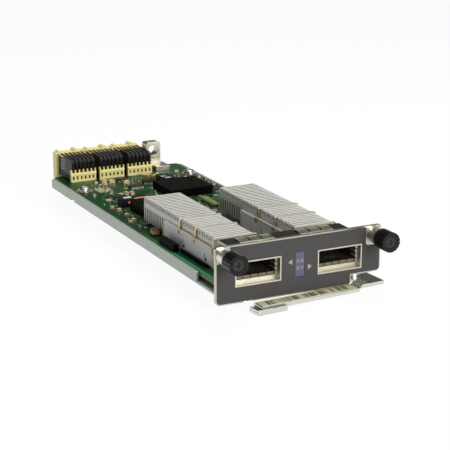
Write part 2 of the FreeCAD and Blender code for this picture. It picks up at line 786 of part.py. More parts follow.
def add_cage_side_details(body):
    """Latch slots in the side walls, the folded rear seams and the feet."""
    half = "Size.cage_width / 2"
    t = "Size.cage_sheet"
    slots = start_sketch(body, "slots", "YZ_Plane", f"-{half} - 1")
    low = f"({CAGE_LOW} + Size.cage_slot_level)"
    for share in ("0.36", "0.69"):
        along = f"(Size.cage_front + Size.cage_length * {share})"
        draw_box(slots, along, f"{along} + Size.cage_slot_width", low, f"{low} + Size.cage_slot_length")
    pocket(body, slots, "Size.cage_width + 2", along_normal=True)
    seams = start_sketch(body, "seams", "XY_Plane", f"{CAGE_LOW} + {t}")
    feet = start_sketch(body, "feet", "XY_Plane", CAGE_LOW)
    foot_start = "(Size.cage_front + Size.cage_foot_inset)"
    foot_run = "(Size.cage_length - 2 * Size.cage_foot_inset - Size.cage_foot_length)"
    for sign in ("-1", "1"):
        inner = f"{sign} * ({half} - {t})"
        outer = f"{sign} * {half}"
        proud = f"{sign} * ({half} + {t} / 2)"
        draw_box(seams, f"{sign} * ({half} - {t} / 2)", proud, f"{CAGE_REAR} - 2 * {t}", CAGE_REAR)
        draw_box(feet, inner, outer, foot_start, f"{foot_start} + Size.cage_foot_length")
    pad(body, seams, "Size.cage_seam_height")
    foot = pad(body, feet, "Size.cage_lift", reverse=True)
    repeat(body, [foot], "Y_Axis", f"{foot_run} / (Size.cage_foot_count - 1)", "Size.cage_foot_count")


def build_port_frame(label, side):
    """Lining of a port opening: an open collar, a stepped web and rows of sprung fingers."""
    body = start_body(label)
    half = "(Size.port_width / 2 - Size.frame_gap)"
    low = "(Size.port_base + Size.frame_gap)"
    high = "(Size.port_base + Size.port_height - Size.frame_gap)"
    wall = "Size.frame_wall"
    collar = start_sketch(body, "collar", "XZ_Plane", "Size.panel_thickness - Size.frame_gap")
    draw_box(collar, f"-{half}", half, low, high)
    draw_box(collar, f"-{half} + {wall}", f"{half} - {wall}", f"{low} + {wall}", f"{high} - {wall}")
    pad(body, collar, "Size.frame_depth", reverse=True)
    rear = "(Size.frame_depth - Size.panel_thickness + Size.frame_gap)"
    web = start_sketch(body, "web", "XZ_Plane", f"-{rear}")
    draw_box(web, f"-{half}", half, low, high)
    mouth = f"({half} - Size.frame_web_side)"
    sill = f"({low} + Size.frame_web_low)"
    draw_box(web, f"-{mouth}", mouth, sill, f"{high} - Size.frame_web_top")
    pad(body, web, wall)
    reach = f"{wall} + Size.finger_length"
    floor = start_sketch(body, "floor_finger", "XZ_Plane", f"-{rear} + {wall}")
    first = "-(Size.floor_finger_count - 1) / 2 * Size.finger_spacing"
    draw_box(
        floor,
        f"{first} - Size.finger_width / 2",
        f"{first} + Size.finger_width / 2",
        f"{sill} - Size.finger_thickness",
        sill,
    )
    finger = pad(body, floor, reach, reverse=True)
    repeat(body, [finger], "X_Axis", "Size.finger_spacing", "Size.floor_finger_count")
    cheek = start_sketch(body, "side_finger", "XZ_Plane", f"-{rear} + {wall}")
    start = f"{sill} + Size.side_finger_width / 4"
    for sign in ("-1", "1"):
        draw_box(
            cheek,
            f"{sign} * {mouth}",
            f"{sign} * ({mouth} + Size.finger_thickness)",
            start,
            f"{start} + Size.side_finger_width",
        )
    blade = pad(body, cheek, reach, reverse=True)
    repeat(body, [blade], "Z_Axis", "Size.side_finger_spacing", "Size.side_finger_count")
    move(body, x=f"{side} * {PORT_X}")


def build_host_connector(label, side):
    """Edge connector on the board, at the back of the cage."""
    body = start_body(label)
    sketch = start_sketch(body, "block", "XY_Plane", BOARD_TOP)
    half = "Size.host_width / 2"
    rear = f"({CAGE_REAR} - Size.host_rear)"
    front = f"({rear} - Size.host_length)"
    draw_box(sketch, f"-{half}", half, front, rear)
    pad(body, sketch, "Size.host_height")
    slot = start_sketch(body, "slot", "XZ_Plane", f"-{front}")
    middle = f"({BOARD_TOP} + Size.host_height * 0.55)"
    draw_box(
        slot,
        f"-{half} + 1",
        f"{half} - 1",
        f"{middle} - Size.host_slot_height / 2",
        f"{middle} + Size.host_slot_height / 2",
    )
    pocket(body, slot, "Size.host_slot_depth")
    move(body, x=f"{side} * {PORT_X}")


# Heat sinks and their clips

def build_heat_sink(label, side):
    """Finned plate on the cage, with deeper fins hanging behind it."""
    body = start_body(label)
    half = "Size.sink_width / 2"
    base = start_sketch(body, "base", "XY_Plane", CAGE_TOP)
    draw_box(base, f"-{half}", half, SINK_FRONT, SINK_REAR)
    pad(body, base, "Size.sink_base")
    pedestal = start_sketch(body, "pedestal", "XY_Plane", CAGE_TOP)
    draw_box(
        pedestal,
        "-Size.pedestal_width / 2",
        "Size.pedestal_width / 2",
        f"{WINDOW_START} + Size.pedestal_gap",
        f"{WINDOW_END} - Size.pedestal_gap",
    )
    pad(body, pedestal, "Size.cage_sheet", reverse=True)
    starts = (
        ("front", SINK_FRONT, "Size.front_fins"),
        ("middle", MIDDLE_FINS, "Size.middle_fins"),
        ("rear", REAR_FINS, "Size.rear_fins"),
    )
    low = f"({CAGE_TOP} + Size.sink_base)"
    c = "Size.fin_chamfer"
    for name, start, count in starts:
        fin = start_sketch(body, f"{name}_fin", "XZ_Plane", f"-{start}")
        draw_polygon(fin, [
            (f"-{half}", low),
            (half, low),
            (half, f"{SINK_TOP} - {c}"),
            (f"{half} - {c}", SINK_TOP),
            (f"-{half} + {c}", SINK_TOP),
            (f"-{half}", f"{SINK_TOP} - {c}"),
        ])
        first = pad(body, fin, "Size.fin_thickness", reverse=True)
        repeat(body, [first], "Y_Axis", "Size.fin_spacing", count)
    hanging = start_sketch(body, "hanging_fin", "XZ_Plane", f"-{HANGING_START}")
    draw_box(hanging, f"-{half}", half, f"{CAGE_TOP} - Size.hanging_fin_height", CAGE_TOP)
    first = pad(body, hanging, "Size.fin_thickness", reverse=True)
    repeat(body, [first], "Y_Axis", "Size.fin_spacing", "Size.hanging_fins")
    move(body, x=f"{side} * {PORT_X}")


def build_clip(label, side):
    """Sprung clip: three straps between the fins, two side rails and hooks over the cage."""
    body = start_body(label)
    t = "Size.clip_thickness"
    leg_in = "(Size.sink_width / 2 + Size.clip_side_gap)"
    leg_out = f"({leg_in} + {t})"
    hook_in = "(Size.cage_width / 2 + Size.clip_cage_gap)"
    hook_out = f"({hook_in} + {t})"
    hook_low = f"({CAGE_TOP} - Size.clip_hook_drop)"
    rail_top = f"({CAGE_TOP} + {t})"
    strap_top = f"({SINK_TOP} - Size.strap_drop)"
    half_profile = [
        (leg_out, strap_top),
        (leg_out, rail_top),
        (hook_out, rail_top),
        (hook_out, hook_low),
        (hook_in, hook_low),
        (hook_in, CAGE_TOP),
        (leg_in, CAGE_TOP),
        (leg_in, f"{strap_top} - {t}"),
    ]
    mirrored = [(f"-{across}", up) for across, up in reversed(half_profile)]
    for place, middle in (("front", FRONT_STRAP), ("middle", MIDDLE_STRAP), ("rear", REAR_STRAP)):
        strap = start_sketch(body, f"{place}_strap", "XZ_Plane", f"-{middle} + Size.strap_width / 2")
        draw_polygon(strap, half_profile + mirrored)
        pad(body, strap, "Size.strap_width", reverse=True)
    rails = start_sketch(body, "rails", "XY_Plane", CAGE_TOP)
    for sign in ("-1", "1"):
        draw_box(
            rails,
            f"{sign} * {leg_in}",
            f"{sign} * {hook_out}",
            f"{FRONT_STRAP} - Size.strap_width / 2",
            f"{REAR_STRAP} + Size.strap_width / 2",
        )
    pad(body, rails, t)
    move(body, x=f"{side} * {PORT_X}")


# Rear connectors

def connector_x(index):
    """Middle of one rear connector."""
    return f"{FIRST_CONNECTOR} + {index} * Size.connector_spacing"


def build_organizer(label, index):
    """Comb that spaces the contact wafers at the front of a rear connector."""
    body = start_body(label)
    half = "Size.organizer_width / 2"
    plate = start_sketch(body, "plate", "XZ_Plane", "-Size.organizer_front")
    top = f"({BOARD_TOP} + Size.organizer_height)"
    draw_box(plate, f"-{half}", half, BOARD_TOP, top)
    pad(body, plate, "Size.organizer_thickness", reverse=True)
    bar = start_sketch(body, "bar", "XZ_Plane", "-Size.organizer_front")
    bar_low = f"{BOARD_TOP} + Size.organizer_bar_level"
    draw_box(bar, f"-{half}", half, bar_low, f"{bar_low} + Size.organizer_bar_height")
    pad(body, bar, "Size.organizer_bar_proud")
    tooth = start_sketch(body, "tooth", "XZ_Plane", "-Size.organizer_front")
    first = "-Size.contact_columns / 2 * Size.contact_spacing"
    half_tooth = "Size.organizer_tooth_width / 2"
    draw_box(
        tooth,
        f"{first} - {half_tooth}",
        f"{first} + {half_tooth}",
        top,
        f"{top} + Size.organizer_tooth_height",
    )
    teeth = pad(body, tooth, "Size.organizer_thickness", reverse=True)
    repeat(body, [teeth], "X_Axis", "Size.contact_spacing", "Size.contact_columns + 1")
    hole = start_sketch(body, "hole", "XZ_Plane", "-Size.organizer_front")
    column = "(-(Size.contact_columns - 1) / 2 * Size.contact_spacing)"
    hole_low = f"{BOARD_TOP} + Size.organizer_hole_level"
    draw_box(
        hole,
        f"{column} - Size.organizer_hole_width / 2",
        f"{column} + Size.organizer_hole_width / 2",
        hole_low,
        f"{hole_low} + Size.organizer_hole_height",
    )
    holes = pocket(body, hole, "Size.organizer_thickness")
    repeat(body, [holes], "X_Axis", "Size.contact_spacing", "Size.contact_columns")
    move(body, x=connector_x(index))


def build_wafers(label, index):
    """Row of upright contact wafers, separate mouldings that each lean out over the comb in front."""
    body = start_body(label)
    column = "-(Size.contact_columns - 1) / 2 * Size.contact_spacing"
    sketch = start_sketch(body, "side", "YZ_Plane", f"{column} - Size.wafer_thickness / 2")
    top = f"({BOARD_TOP} + Size.wafer_height)"
    nose = f"({WAFER_FRONT} - Size.wafer_nose)"
    draw_polygon(sketch, [
        (WAFER_FRONT, BOARD_TOP),
        (WAFER_REAR, BOARD_TOP),
        (WAFER_REAR, f"{top} - Size.wafer_step"),
        (f"{WAFER_REAR} - Size.wafer_step_length", f"{top} - Size.wafer_step"),
        (f"{WAFER_REAR} - Size.wafer_step_length", top),
        (f"{nose} + Size.wafer_round", top),
        (nose, f"{top} - Size.wafer_round"),
        (nose, f"{BOARD_TOP} + Size.wafer_nose_level"),
        (WAFER_FRONT, f"{BOARD_TOP} + Size.wafer_nose_level"),
    ])
    wafer = pad(body, sketch, "Size.wafer_thickness")
    repeat(body, [wafer], "X_Axis", "Size.contact_spacing", "Size.contact_columns")
    move(body, x=connector_x(index))


def build_housing(label, index):
    """Mating housing: a block with contact slots, tines over the wafers and two keys on top."""
    body = start_body(label)
    half = "Size.housing_width / 2"
    top = f"({HOUSING_LOW} + Size.housing_height)"
    block = start_sketch(body, "block", "XZ_Plane", f"-{HOUSING_FRONT}")
    draw_box(block, f"-{half}", half, HOUSING_LOW, top)
    pad(body, block, "Size.housing_depth", reverse=True)
    tine = start_sketch(body, "tine", "XZ_Plane", f"-{HOUSING_FRONT}")
    first = "-Size.contact_columns / 2 * Size.contact_spacing"
    half_tine = "Size.tine_width / 2"
    draw_box(tine, f"{first} - {half_tine}", f"{first} + {half_tine}", f"{top} - Size.tine_height", top)
    tines = pad(body, tine, "Size.tine_length")
    repeat(body, [tines], "X_Axis", "Size.contact_spacing", "Size.contact_columns + 1")
    rear = f"({HOUSING_FRONT} + Size.housing_depth)"
    keys = start_sketch(body, "keys", "XZ_Plane", f"-{rear}")
    draw_circle(keys, "Size.big_key_x", top, "Size.big_key_radius")
    draw_circle(keys, "-Size.small_key_x", top, "Size.small_key_radius")
    pad(body, keys, "Size.key_length")
    slot = start_sketch(body, "slot", "XZ_Plane", f"-{rear}")
    column = "(-(Size.contact_columns - 1) / 2 * Size.contact_spacing)"
    draw_box(
        slot,
        f"{column} - Size.housing_slot_width / 2",
        f"{column} + Size.housing_slot_width / 2",
        f"{HOUSING_LOW} + Size.housing_slot_edge",
        f"{top} - Size.housing_slot_edge",
    )
    slots = pocket(body, slot, "Size.housing_slot_depth", along_normal=True)
    repeat(body, [slots], "X_Axis", "Size.contact_spacing", "Size.contact_columns")
    move(body, x=connector_x(index))


def build_guide_block():
    """Block with the hole that takes the chassis guide pin."""
    body = start_body("guide_block")
    rear = "(Size.guide_front + Size.guide_thickness)"
    side = start_sketch(body, "upright", "YZ_Plane", GUIDE_X)
    groove_low = f"({BOARD_TOP} + Size.guide_groove_level)"
    front = "Size.guide_front"
    draw_polygon(side, [
        (front, BOARD_TOP),
        (rear, BOARD_TOP),
        (rear, f"{BOARD_TOP} + Size.guide_height"),
        (front, f"{BOARD_TOP} + Size.guide_height"),
        (front, f"{groove_low} + Size.guide_groove_height"),
        (f"{front} + Size.guide_groove", groove_low),
        (front, groove_low),
    ])
    pad(body, side, "Size.guide_width")
    x_left, x_right = number(GUIDE_X), number(f"{GUIDE_X} + Size.guide_width")
    top = number(f"{BOARD_TOP} + Size.guide_height")
    for x in (x_left, x_right):
        round_edges(body, "Size.guide_round", lambda edge: edge_along(edge, "y", x=x, z=top))
    foot = start_sketch(body, "foot", "XY_Plane", BOARD_TOP)
    draw_box(
        foot,
        f"{GUIDE_X} + Size.guide_foot_offset",
        f"{GUIDE_X} + Size.guide_foot_offset + Size.guide_foot_width",
        f"{front} - Size.guide_foot_depth",
        f"{front} + Size.guide_thickness / 2",
    )
    pad(body, foot, "Size.guide_foot_height")
    hole = start_sketch(body, "hole", "XZ_Plane", f"-{front}")
    draw_circle(hole, f"{GUIDE_X} + Size.guide_width / 2", f"{BOARD_TOP} + Size.guide_hole_level",
                "Size.guide_hole_radius")
    pocket(body, hole, "Size.guide_thickness")


# Ejector lever, drawn about its pivot

def build_lever():
    """Joggled sheet lever: a lipped arm, a finger tip and a tab that turns on the pivot."""
    body = start_body("ejector_lever")
    t = "Size.lever_sheet"
    arm, tab, tip = "-Size.lever_arm_drop", "Size.lever_tab_rise", "-Size.lever_finger_drop"
    left, right = "-Size.lever_joggle_left", "-Size.lever_joggle_right"
    strip = start_sketch(body, "strip", "XZ_Plane", "Size.lever_arm_rear")
    draw_polygon(strip, [
        ("-Size.lever_arm_left", arm),
        ("-Size.lever_arm_left", f"{arm} - {t}"),
        (left, f"{arm} - {t}"),
        (right, f"{tab} - {t}"),
        ("Size.lever_tab_right", f"{tab} - {t}"),
        ("Size.lever_tab_right", tab),
        (right, tab),
        (left, arm),
    ])
    pad(body, strip, "Size.lever_arm_front - Size.lever_arm_rear")
    back = start_sketch(body, "tab", "XY_Plane", tab)
    draw_box(back, right, "Size.lever_tab_right", f"-Size.lever_arm_rear - {t}", "Size.lever_tab_rear")
    pad(body, back, t, reverse=True)
    finger = start_sketch(body, "finger", "XY_Plane", tip)
    draw_box(
        finger,
        "-Size.lever_tip_left",
        "-Size.lever_finger_right",
        "-Size.lever_finger_front",
        "-Size.lever_finger_rear",
    )
    pad(body, finger, t, reverse=True)
    corner = number("-Size.lever_tip_left"), number("-Size.lever_finger_front")
    round_edges(body, "Size.lever_corner / 2", lambda edge: edge_along(edge, "z", x=corner[0], y=corner[1]))
    rear = number("Size.lever_tab_rear")
    for x in (number("Size.lever_tab_right"), number(right)):
        round_edges(body, "Size.lever_corner", lambda edge: edge_along(edge, "z", x=x, y=rear))
    add_lever_lips(body, arm, tab, tip)
    hole = start_sketch(body, "pivot_hole", "XY_Plane", tab)
    draw_circle(hole, "0", "0", "Size.stud_shank + Size.stud_play")
    pocket(body, hole, t)
    move(body, x=PIVOT_X, y="Size.pivot_y")
    body.setExpression("Placement.Rotation.Angle", "Size.lever_rest_angle")


def add_lever_lips(body, arm, tab, tip):
    """Turned-down front edges of the arm, the tab and the finger tip."""
    t = "Size.lever_sheet"
    front = "-Size.lever_arm_front"
    lip = "Size.lever_lip_thickness"
    lips = (
        ("arm_lip", arm, f"-Size.lever_finger_right - {t}", "-Size.lever_joggle_left", front,
         "Size.lever_lip_height"),
        ("tab_lip", tab, "-Size.lever_joggle_right", "Size.lever_tab_right", front, "Size.lever_lip_height"),
        ("tip_lip", tip, "-Size.lever_tip_left + Size.lever_corner / 2", "-Size.lever_finger_right",
         "-Size.lever_finger_front", "Size.lever_tip_lip"),
    )
    for name, level, start, end, edge, height in lips:
        sketch = start_sketch(body, name, "XY_Plane", f"{level} - {t}")
        draw_box(sketch, start, end, edge, f"{edge} + {lip}")
        pad(body, sketch, height, reverse=True)


def build_lever_label():
    """Plain label on the lever's arm."""
    body = start_body("lever_label")
    sketch = start_sketch(body, "sheet", "XY_Plane", "-Size.lever_arm_drop")
    draw_box(sketch, "-Size.label_left", "-Size.label_right", "-Size.label_front", "-Size.label_rear")
    pad(body, sketch, "Size.label_thickness")
    move(body, x=PIVOT_X, y="Size.pivot_y")
    body.setExpression("Placement.Rotation.Angle", "Size.lever_rest_angle")


def build_lever_stud():
    """Shouldered stud, welded under the tray floor, that the lever turns on."""
    body = start_body("lever_stud")
    sketch = start_sketch(body, "profile", "XZ_Plane")
    under = "(Size.lever_tab_rise - Size.lever_sheet - Size.stud_air)"
    over = "(Size.lever_tab_rise + Size.stud_air)"
    draw_polygon(sketch, [
        ("0", f"{under} - Size.stud_head_height"),
        ("Size.stud_head_radius", f"{under} - Size.stud_head_height"),
        ("Size.stud_head_radius", under),
        ("Size.stud_shank", under),
        ("Size.stud_shank", over),
        ("Size.stud_shoulder_radius", over),
        ("Size.stud_shoulder_radius", "Size.tray_base"),
        ("0", "Size.tray_base"),
    ])
    revolve(body, sketch, "Z_Axis")
    move(body, x=PIVOT_X, y="Size.pivot_y")


# Captive screws, each drawn about its own axis

def place_screw_part(body, side):
    """Put a turned piece on one of the two screw axes."""
    move(body, x=f"{side} * {SCREW_X}", z=SCREW_Z)


def build_ferrule(label, side):
    """Sleeve pressed in the faceplate; the screw's thinner shank runs in it."""
    body = start_body(label)
    sketch = start_sketch(body, "profile", "XY_Plane")
    bore = "(Size.screw_shank + Size.ferrule_play)"
    draw_polygon(sketch, [
        (bore, "0"),
        ("Size.ferrule_shank", "0"),
        ("Size.ferrule_shank", "-Size.panel_thickness"),
        ("Size.ferrule_radius", "-Size.panel_thickness"),
        ("Size.ferrule_radius", FERRULE_FRONT),
        (bore, FERRULE_FRONT),
    ])
    revolve(body, sketch)
    place_screw_part(body, side)


def build_knob(label, side):
    """Grooved knob, pressed on the screw's head, whose skirt slides over the ferrule."""
    body = start_body(label)
    sketch = start_sketch(body, "profile", "XY_Plane")
    bore = "(Size.screw_head_radius + Size.press_gap)"
    draw_polygon(sketch, [
        (bore, KNOB_FLOOR),
        ("Size.knob_skirt_radius", KNOB_FLOOR),
        ("Size.knob_skirt_radius", KNOB_REAR),
        ("Size.knob_radius", KNOB_REAR),
        ("Size.knob_radius", KNOB_FRONT),
        (bore, KNOB_FRONT),
    ])
    revolve(body, sketch)
    groove = start_sketch(body, "groove", "XZ_Plane", f"-{KNOB_FRONT}")
    deep = "Size.knob_radius - Size.knob_groove_depth"
    clear = "Size.knob_radius + Size.knob_groove_depth"
    wide = "Size.knob_groove_width / 2"
    draw_polygon(groove, [("0", deep), (wide, clear), (f"-{wide}", clear)])
    cut = pocket(body, groove, "Size.knob_length - Size.knob_groove_stop")
    turns = body.newObject("PartDesign::PolarPattern", f"{label}_grooves")
    turns.Originals = [cut]
    turns.Axis = (datum(body, "Y_Axis"), [""])
    turns.Angle = 360
    turns.setExpression("Occurrences", "Size.knob_groove_count")
    finish_feature(body, turns)
    place_screw_part(body, side)


def build_captive_screw(label, side):
    """Screw that carries the knob; its thread is too wide to come back out through the ferrule."""
    body = start_body(label)
    sketch = start_sketch(body, "profile", "XY_Plane")
    face = f"({KNOB_FRONT} + Size.screw_head_sink)"
    draw_polygon(sketch, [
        ("0", face),
        ("Size.screw_head_radius", face),
        ("Size.screw_head_radius", KNOB_FLOOR),
        ("Size.screw_shank", KNOB_FLOOR),
        ("Size.screw_shank", "Size.screw_thread_start"),
        ("Size.screw_thread", "Size.screw_thread_start"),
        ("Size.screw_thread", "Size.screw_tip"),
        ("0", "Size.screw_tip"),
    ])
    revolve(body, sketch)
    place_screw_part(body, side)


def build_washer(label, side):
    """Six-sided thrust washer between the spring and the turning knob."""
    body = start_body(label)
    sketch = start_sketch(body, "ring", "XZ_Plane", f"-({KNOB_FLOOR} + Size.washer_air)")
    draw_hexagon(sketch, "0", "0", "Size.washer_radius")
    draw_circle(sketch, "0", "0", "Size.screw_shank + Size.washer_play")
    pad(body, sketch, "Size.washer_thickness", reverse=True)
    place_screw_part(body, side)


def build_spring(label, side):
    """Coil of square wire, in short straight runs, that pushes the washer and the knob out."""
    front = number(f"{KNOB_FLOOR} + Size.washer_air + Size.washer_thickness + Size.spring_air")
    rear = number(f"{FERRULE_FRONT} - Size.spring_air")
    wire = number("Size.spring_wire")
    radius = number("Size.spring_radius")
    steps = int(number("Size.spring_turns * Size.spring_steps"))
    rise = rear - front - wire
    centre = FreeCAD.Vector(number(f"{side} * {SCREW_X}"), 0, number(SCREW_Z))
    path = []
    for step in range(steps + 1):
        turn = FreeCAD.Rotation(FreeCAD.Vector(0, 1, 0), 360 * step / number("Size.spring_steps"))
        along = front + wire / 2 + rise * step / steps
        path.append(turn.multVec(FreeCAD.Vector(radius, 0, 0)) + FreeCAD.Vector(0, along, 0))
    half = FreeCAD.Vector(wire / 2, 0, 0), FreeCAD.Vector(0, wire / 2, 0)
    corners = [path[0] + half[0] * a + half[1] * b for a, b in ((1, 1), (-1, 1), (-1, -1), (1, -1), (1, 1))]
    section = Part.makePolygon(corners)
    coil = Part.Wire(Part.makePolygon(path).Edges).makePipeShell([section], True, False, 1)
    spring = doc.addObject("Part::Feature", label)
    spring.Label = label
    spring.Shape = Part.makeSolid(Part.Shell(coil.Faces)) if not coil.Solids else coil.Solids[0]
    spring.Placement = FreeCAD.Placement(centre, FreeCAD.Rotation())
    pieces.append(spring)


SIDES = (("left", -1), ("right", 1))

build_faceplate()
build_indicator_lens()
build_gasket_strip("gasket_fingers_left", f"({FLANGE_LEFT} + Size.strip_left_inset)")
build_gasket_strip("gasket_fingers_right", f"({FLANGE_RIGHT} - Size.strip_right_inset - {STRIP_LENGTH})")
build_tray()
build_board()
build_standoffs()
build_board_screws()
for piece_name, piece_blocks in BOARD_BLOCKS.items():
    build_board_blocks(piece_name, piece_blocks)
for word, sign in SIDES:
    build_port_frame(f"port_frame_{word}", sign)
    build_cage(f"transceiver_cage_{word}", sign)
    build_host_connector(f"host_connector_{word}", sign)
    build_heat_sink(f"heat_sink_{word}", sign)
    build_clip(f"heat_sink_clip_{word}", sign)
    build_ferrule(f"screw_ferrule_{word}", sign)
    build_knob(f"screw_knob_{word}", sign)
    build_captive_screw(f"captive_screw_{word}", sign)
    build_washer(f"thrust_washer_{word}", sign)
    build_spring(f"screw_spring_{word}", sign)
for order, word in enumerate(("left", "middle", "right")):
    build_organizer(f"wafer_organizer_{word}", order)
    build_wafers(f"contact_wafers_{word}", order)
    build_housing(f"mating_housing_{word}", order)
build_guide_block()
build_lever()
build_lever_label()
build_lever_stud()

doc.recompute()
for item in doc.Objects:
    if "Invalid" in item.State or "Error" in item.State:
        raise RuntimeError(f"{item.Name} failed: {item.State}")
os.makedirs("parts", exist_ok=True)
for piece in pieces:
    if piece.Shape.isNull() or not piece.Shape.isValid():
        raise RuntimeError(f"{piece.Label} has no valid shape")
    piece.Shape.exportStep(f"parts/{piece.Label}.step")
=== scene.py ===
import json
import math
import random

import bmesh
import bpy
from mathutils import Matrix, Vector

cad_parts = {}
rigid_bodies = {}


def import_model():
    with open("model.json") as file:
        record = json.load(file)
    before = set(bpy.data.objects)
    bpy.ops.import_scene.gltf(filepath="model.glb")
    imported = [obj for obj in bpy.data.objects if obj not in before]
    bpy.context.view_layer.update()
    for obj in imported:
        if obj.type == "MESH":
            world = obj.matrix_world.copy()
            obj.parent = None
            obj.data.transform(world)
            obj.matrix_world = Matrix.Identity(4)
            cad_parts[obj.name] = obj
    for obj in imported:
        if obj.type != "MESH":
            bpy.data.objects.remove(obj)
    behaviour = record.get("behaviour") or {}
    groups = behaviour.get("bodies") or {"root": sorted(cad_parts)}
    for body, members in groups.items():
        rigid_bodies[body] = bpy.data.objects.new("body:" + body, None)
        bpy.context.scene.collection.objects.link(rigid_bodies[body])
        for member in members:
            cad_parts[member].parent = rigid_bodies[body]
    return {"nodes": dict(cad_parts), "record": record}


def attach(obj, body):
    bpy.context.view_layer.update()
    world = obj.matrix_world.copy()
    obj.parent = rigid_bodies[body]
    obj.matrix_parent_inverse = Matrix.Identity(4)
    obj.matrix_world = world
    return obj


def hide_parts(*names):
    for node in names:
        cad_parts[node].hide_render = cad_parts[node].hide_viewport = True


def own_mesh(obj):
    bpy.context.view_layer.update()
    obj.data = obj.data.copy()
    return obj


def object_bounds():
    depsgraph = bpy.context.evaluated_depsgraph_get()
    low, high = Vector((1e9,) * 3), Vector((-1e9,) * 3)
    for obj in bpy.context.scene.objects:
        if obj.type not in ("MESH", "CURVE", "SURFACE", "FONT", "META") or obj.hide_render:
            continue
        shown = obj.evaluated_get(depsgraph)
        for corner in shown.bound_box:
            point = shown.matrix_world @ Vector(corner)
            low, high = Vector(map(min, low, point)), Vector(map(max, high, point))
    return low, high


bl_info = {
    "name": "Line card finisher",
    "version": (1, 0, 0),
    "blender": (4, 5, 0),
    "location": "View3D > Sidebar > Line card",
    "description": "Finishes, small parts and a studio for a switch line card",
    "category": "Object",
}

for leftover in list(bpy.data.objects):
    bpy.data.objects.remove(leftover)
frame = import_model()
CAD_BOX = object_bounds()
MM = 0.001
BODY_OF = {
    node: body
    for body, nodes in frame["record"]["behaviour"]["bodies"].items()
    for node in nodes
}

# Places of the solids, in millimetres and degrees
BOARD_TOP = 8.0
BOARD_SCREWS = ((-29.0, 149.8), (28.2, 158.3))
BOARD_SCREW_TOP = 9.9
PORT_MIDDLE = 17.8
PORTS = (("left", -PORT_MIDDLE), ("right", PORT_MIDDLE))
CONNECTORS = (("left", -23.2), ("middle", -8.8), ("right", 5.6))
THUMBSCREWS = (("left", -32.6), ("right", 32.6))
THUMBSCREW_FRONT = (-13.9, 19.3)
LEVER_PIVOT = (28.5, 6.8)
LEVER_LEAN = 4.2
LEAD_PITCH = 0.8

# Length, width and height in millimetres, and tones, of the small parts that are scattered
PART_SIZES = ((1.0, 0.5, 0.35), (1.6, 0.8, 0.5), (1.6, 0.8, 0.8), (2.0, 1.25, 0.9))
PART_TONES = (0.1, 0.2, 0.3, 0.62, 0.75, 1.0)

# Camera's place in millimetres and the direction that it looks in
CAMERA_PLACE = (-269.62, -478.16, 187.42)
CAMERA_AIM = (0.42799, 0.85901, -0.28096)


# Shader and geometry trees

class Field:
    """A number that varies over a surface or a shape."""

    def __init__(self, graph, socket):
        self.graph = graph
        self.socket = socket

    def work(self, operation, *others, clamp=False):
        return self.graph.sum_up(operation, self, *others, clamp=clamp)

    def __add__(self, other):
        return self.work("ADD", other)

    def __radd__(self, other):
        return self.graph.sum_up("ADD", other, self)

    def __sub__(self, other):
        return self.work("SUBTRACT", other)

    def __rsub__(self, other):
        return self.graph.sum_up("SUBTRACT", other, self)

    def __mul__(self, other):
        return self.work("MULTIPLY", other)

    def __rmul__(self, other):
        return self.graph.sum_up("MULTIPLY", other, self)

    def __truediv__(self, other):
        return self.work("DIVIDE", other)

    def __gt__(self, other):
        return self.work("GREATER_THAN", other)

    def __lt__(self, other):
        return self.work("LESS_THAN", other)

    def __abs__(self):
        return self.work("ABSOLUTE")

    def held(self):
        """Held between nought and one."""
        return self.work("ADD", 0.0, clamp=True)


class Graph:
    """Node tree that is written as expressions."""

    def __init__(self, tree):
        self.tree = tree

    def node(self, kind, settings=None, inputs=None):
        """One node: its settings first, then the values or links of its sockets."""
        made = self.tree.nodes.new(kind)
        for name, value in (settings or {}).items():
            if name == "stops":
                ramp = made.color_ramp
                while len(ramp.elements) < len(value):
                    ramp.elements.new(1.0)
                for element, (place, color) in zip(ramp.elements, value):
                    element.position = place
                    element.color = (*color, 1.0)
            else:
                setattr(made, name, value)
        for name, value in (inputs or {}).items():
            self.feed(made.inputs[name], value)
        return made

    def feed(self, socket, value):
        """Links or sets one socket."""
        if isinstance(value, Field):
            value = value.socket
        if isinstance(value, bpy.types.NodeSocket):
            self.tree.links.new(value, socket)
        elif socket.type == "RGBA" and len(value) == 3:
            socket.default_value = (*value, 1.0)
        else:
            socket.default_value = value

    def sum_up(self, operation, *values, clamp=False):
        made = self.node("ShaderNodeMath", {"operation": operation, "use_clamp": clamp})
        for socket, value in zip(made.inputs, values):
            self.feed(socket, value)
        return Field(self, made.outputs[0])

    def split(self, vector):
        parts = self.node("ShaderNodeSeparateXYZ", inputs={0: vector})
        return [Field(self, output) for output in parts.outputs]

    def join(self, x, y, z):
        return self.node("ShaderNodeCombineXYZ", inputs={0: x, 1: y, 2: z}).outputs[0]


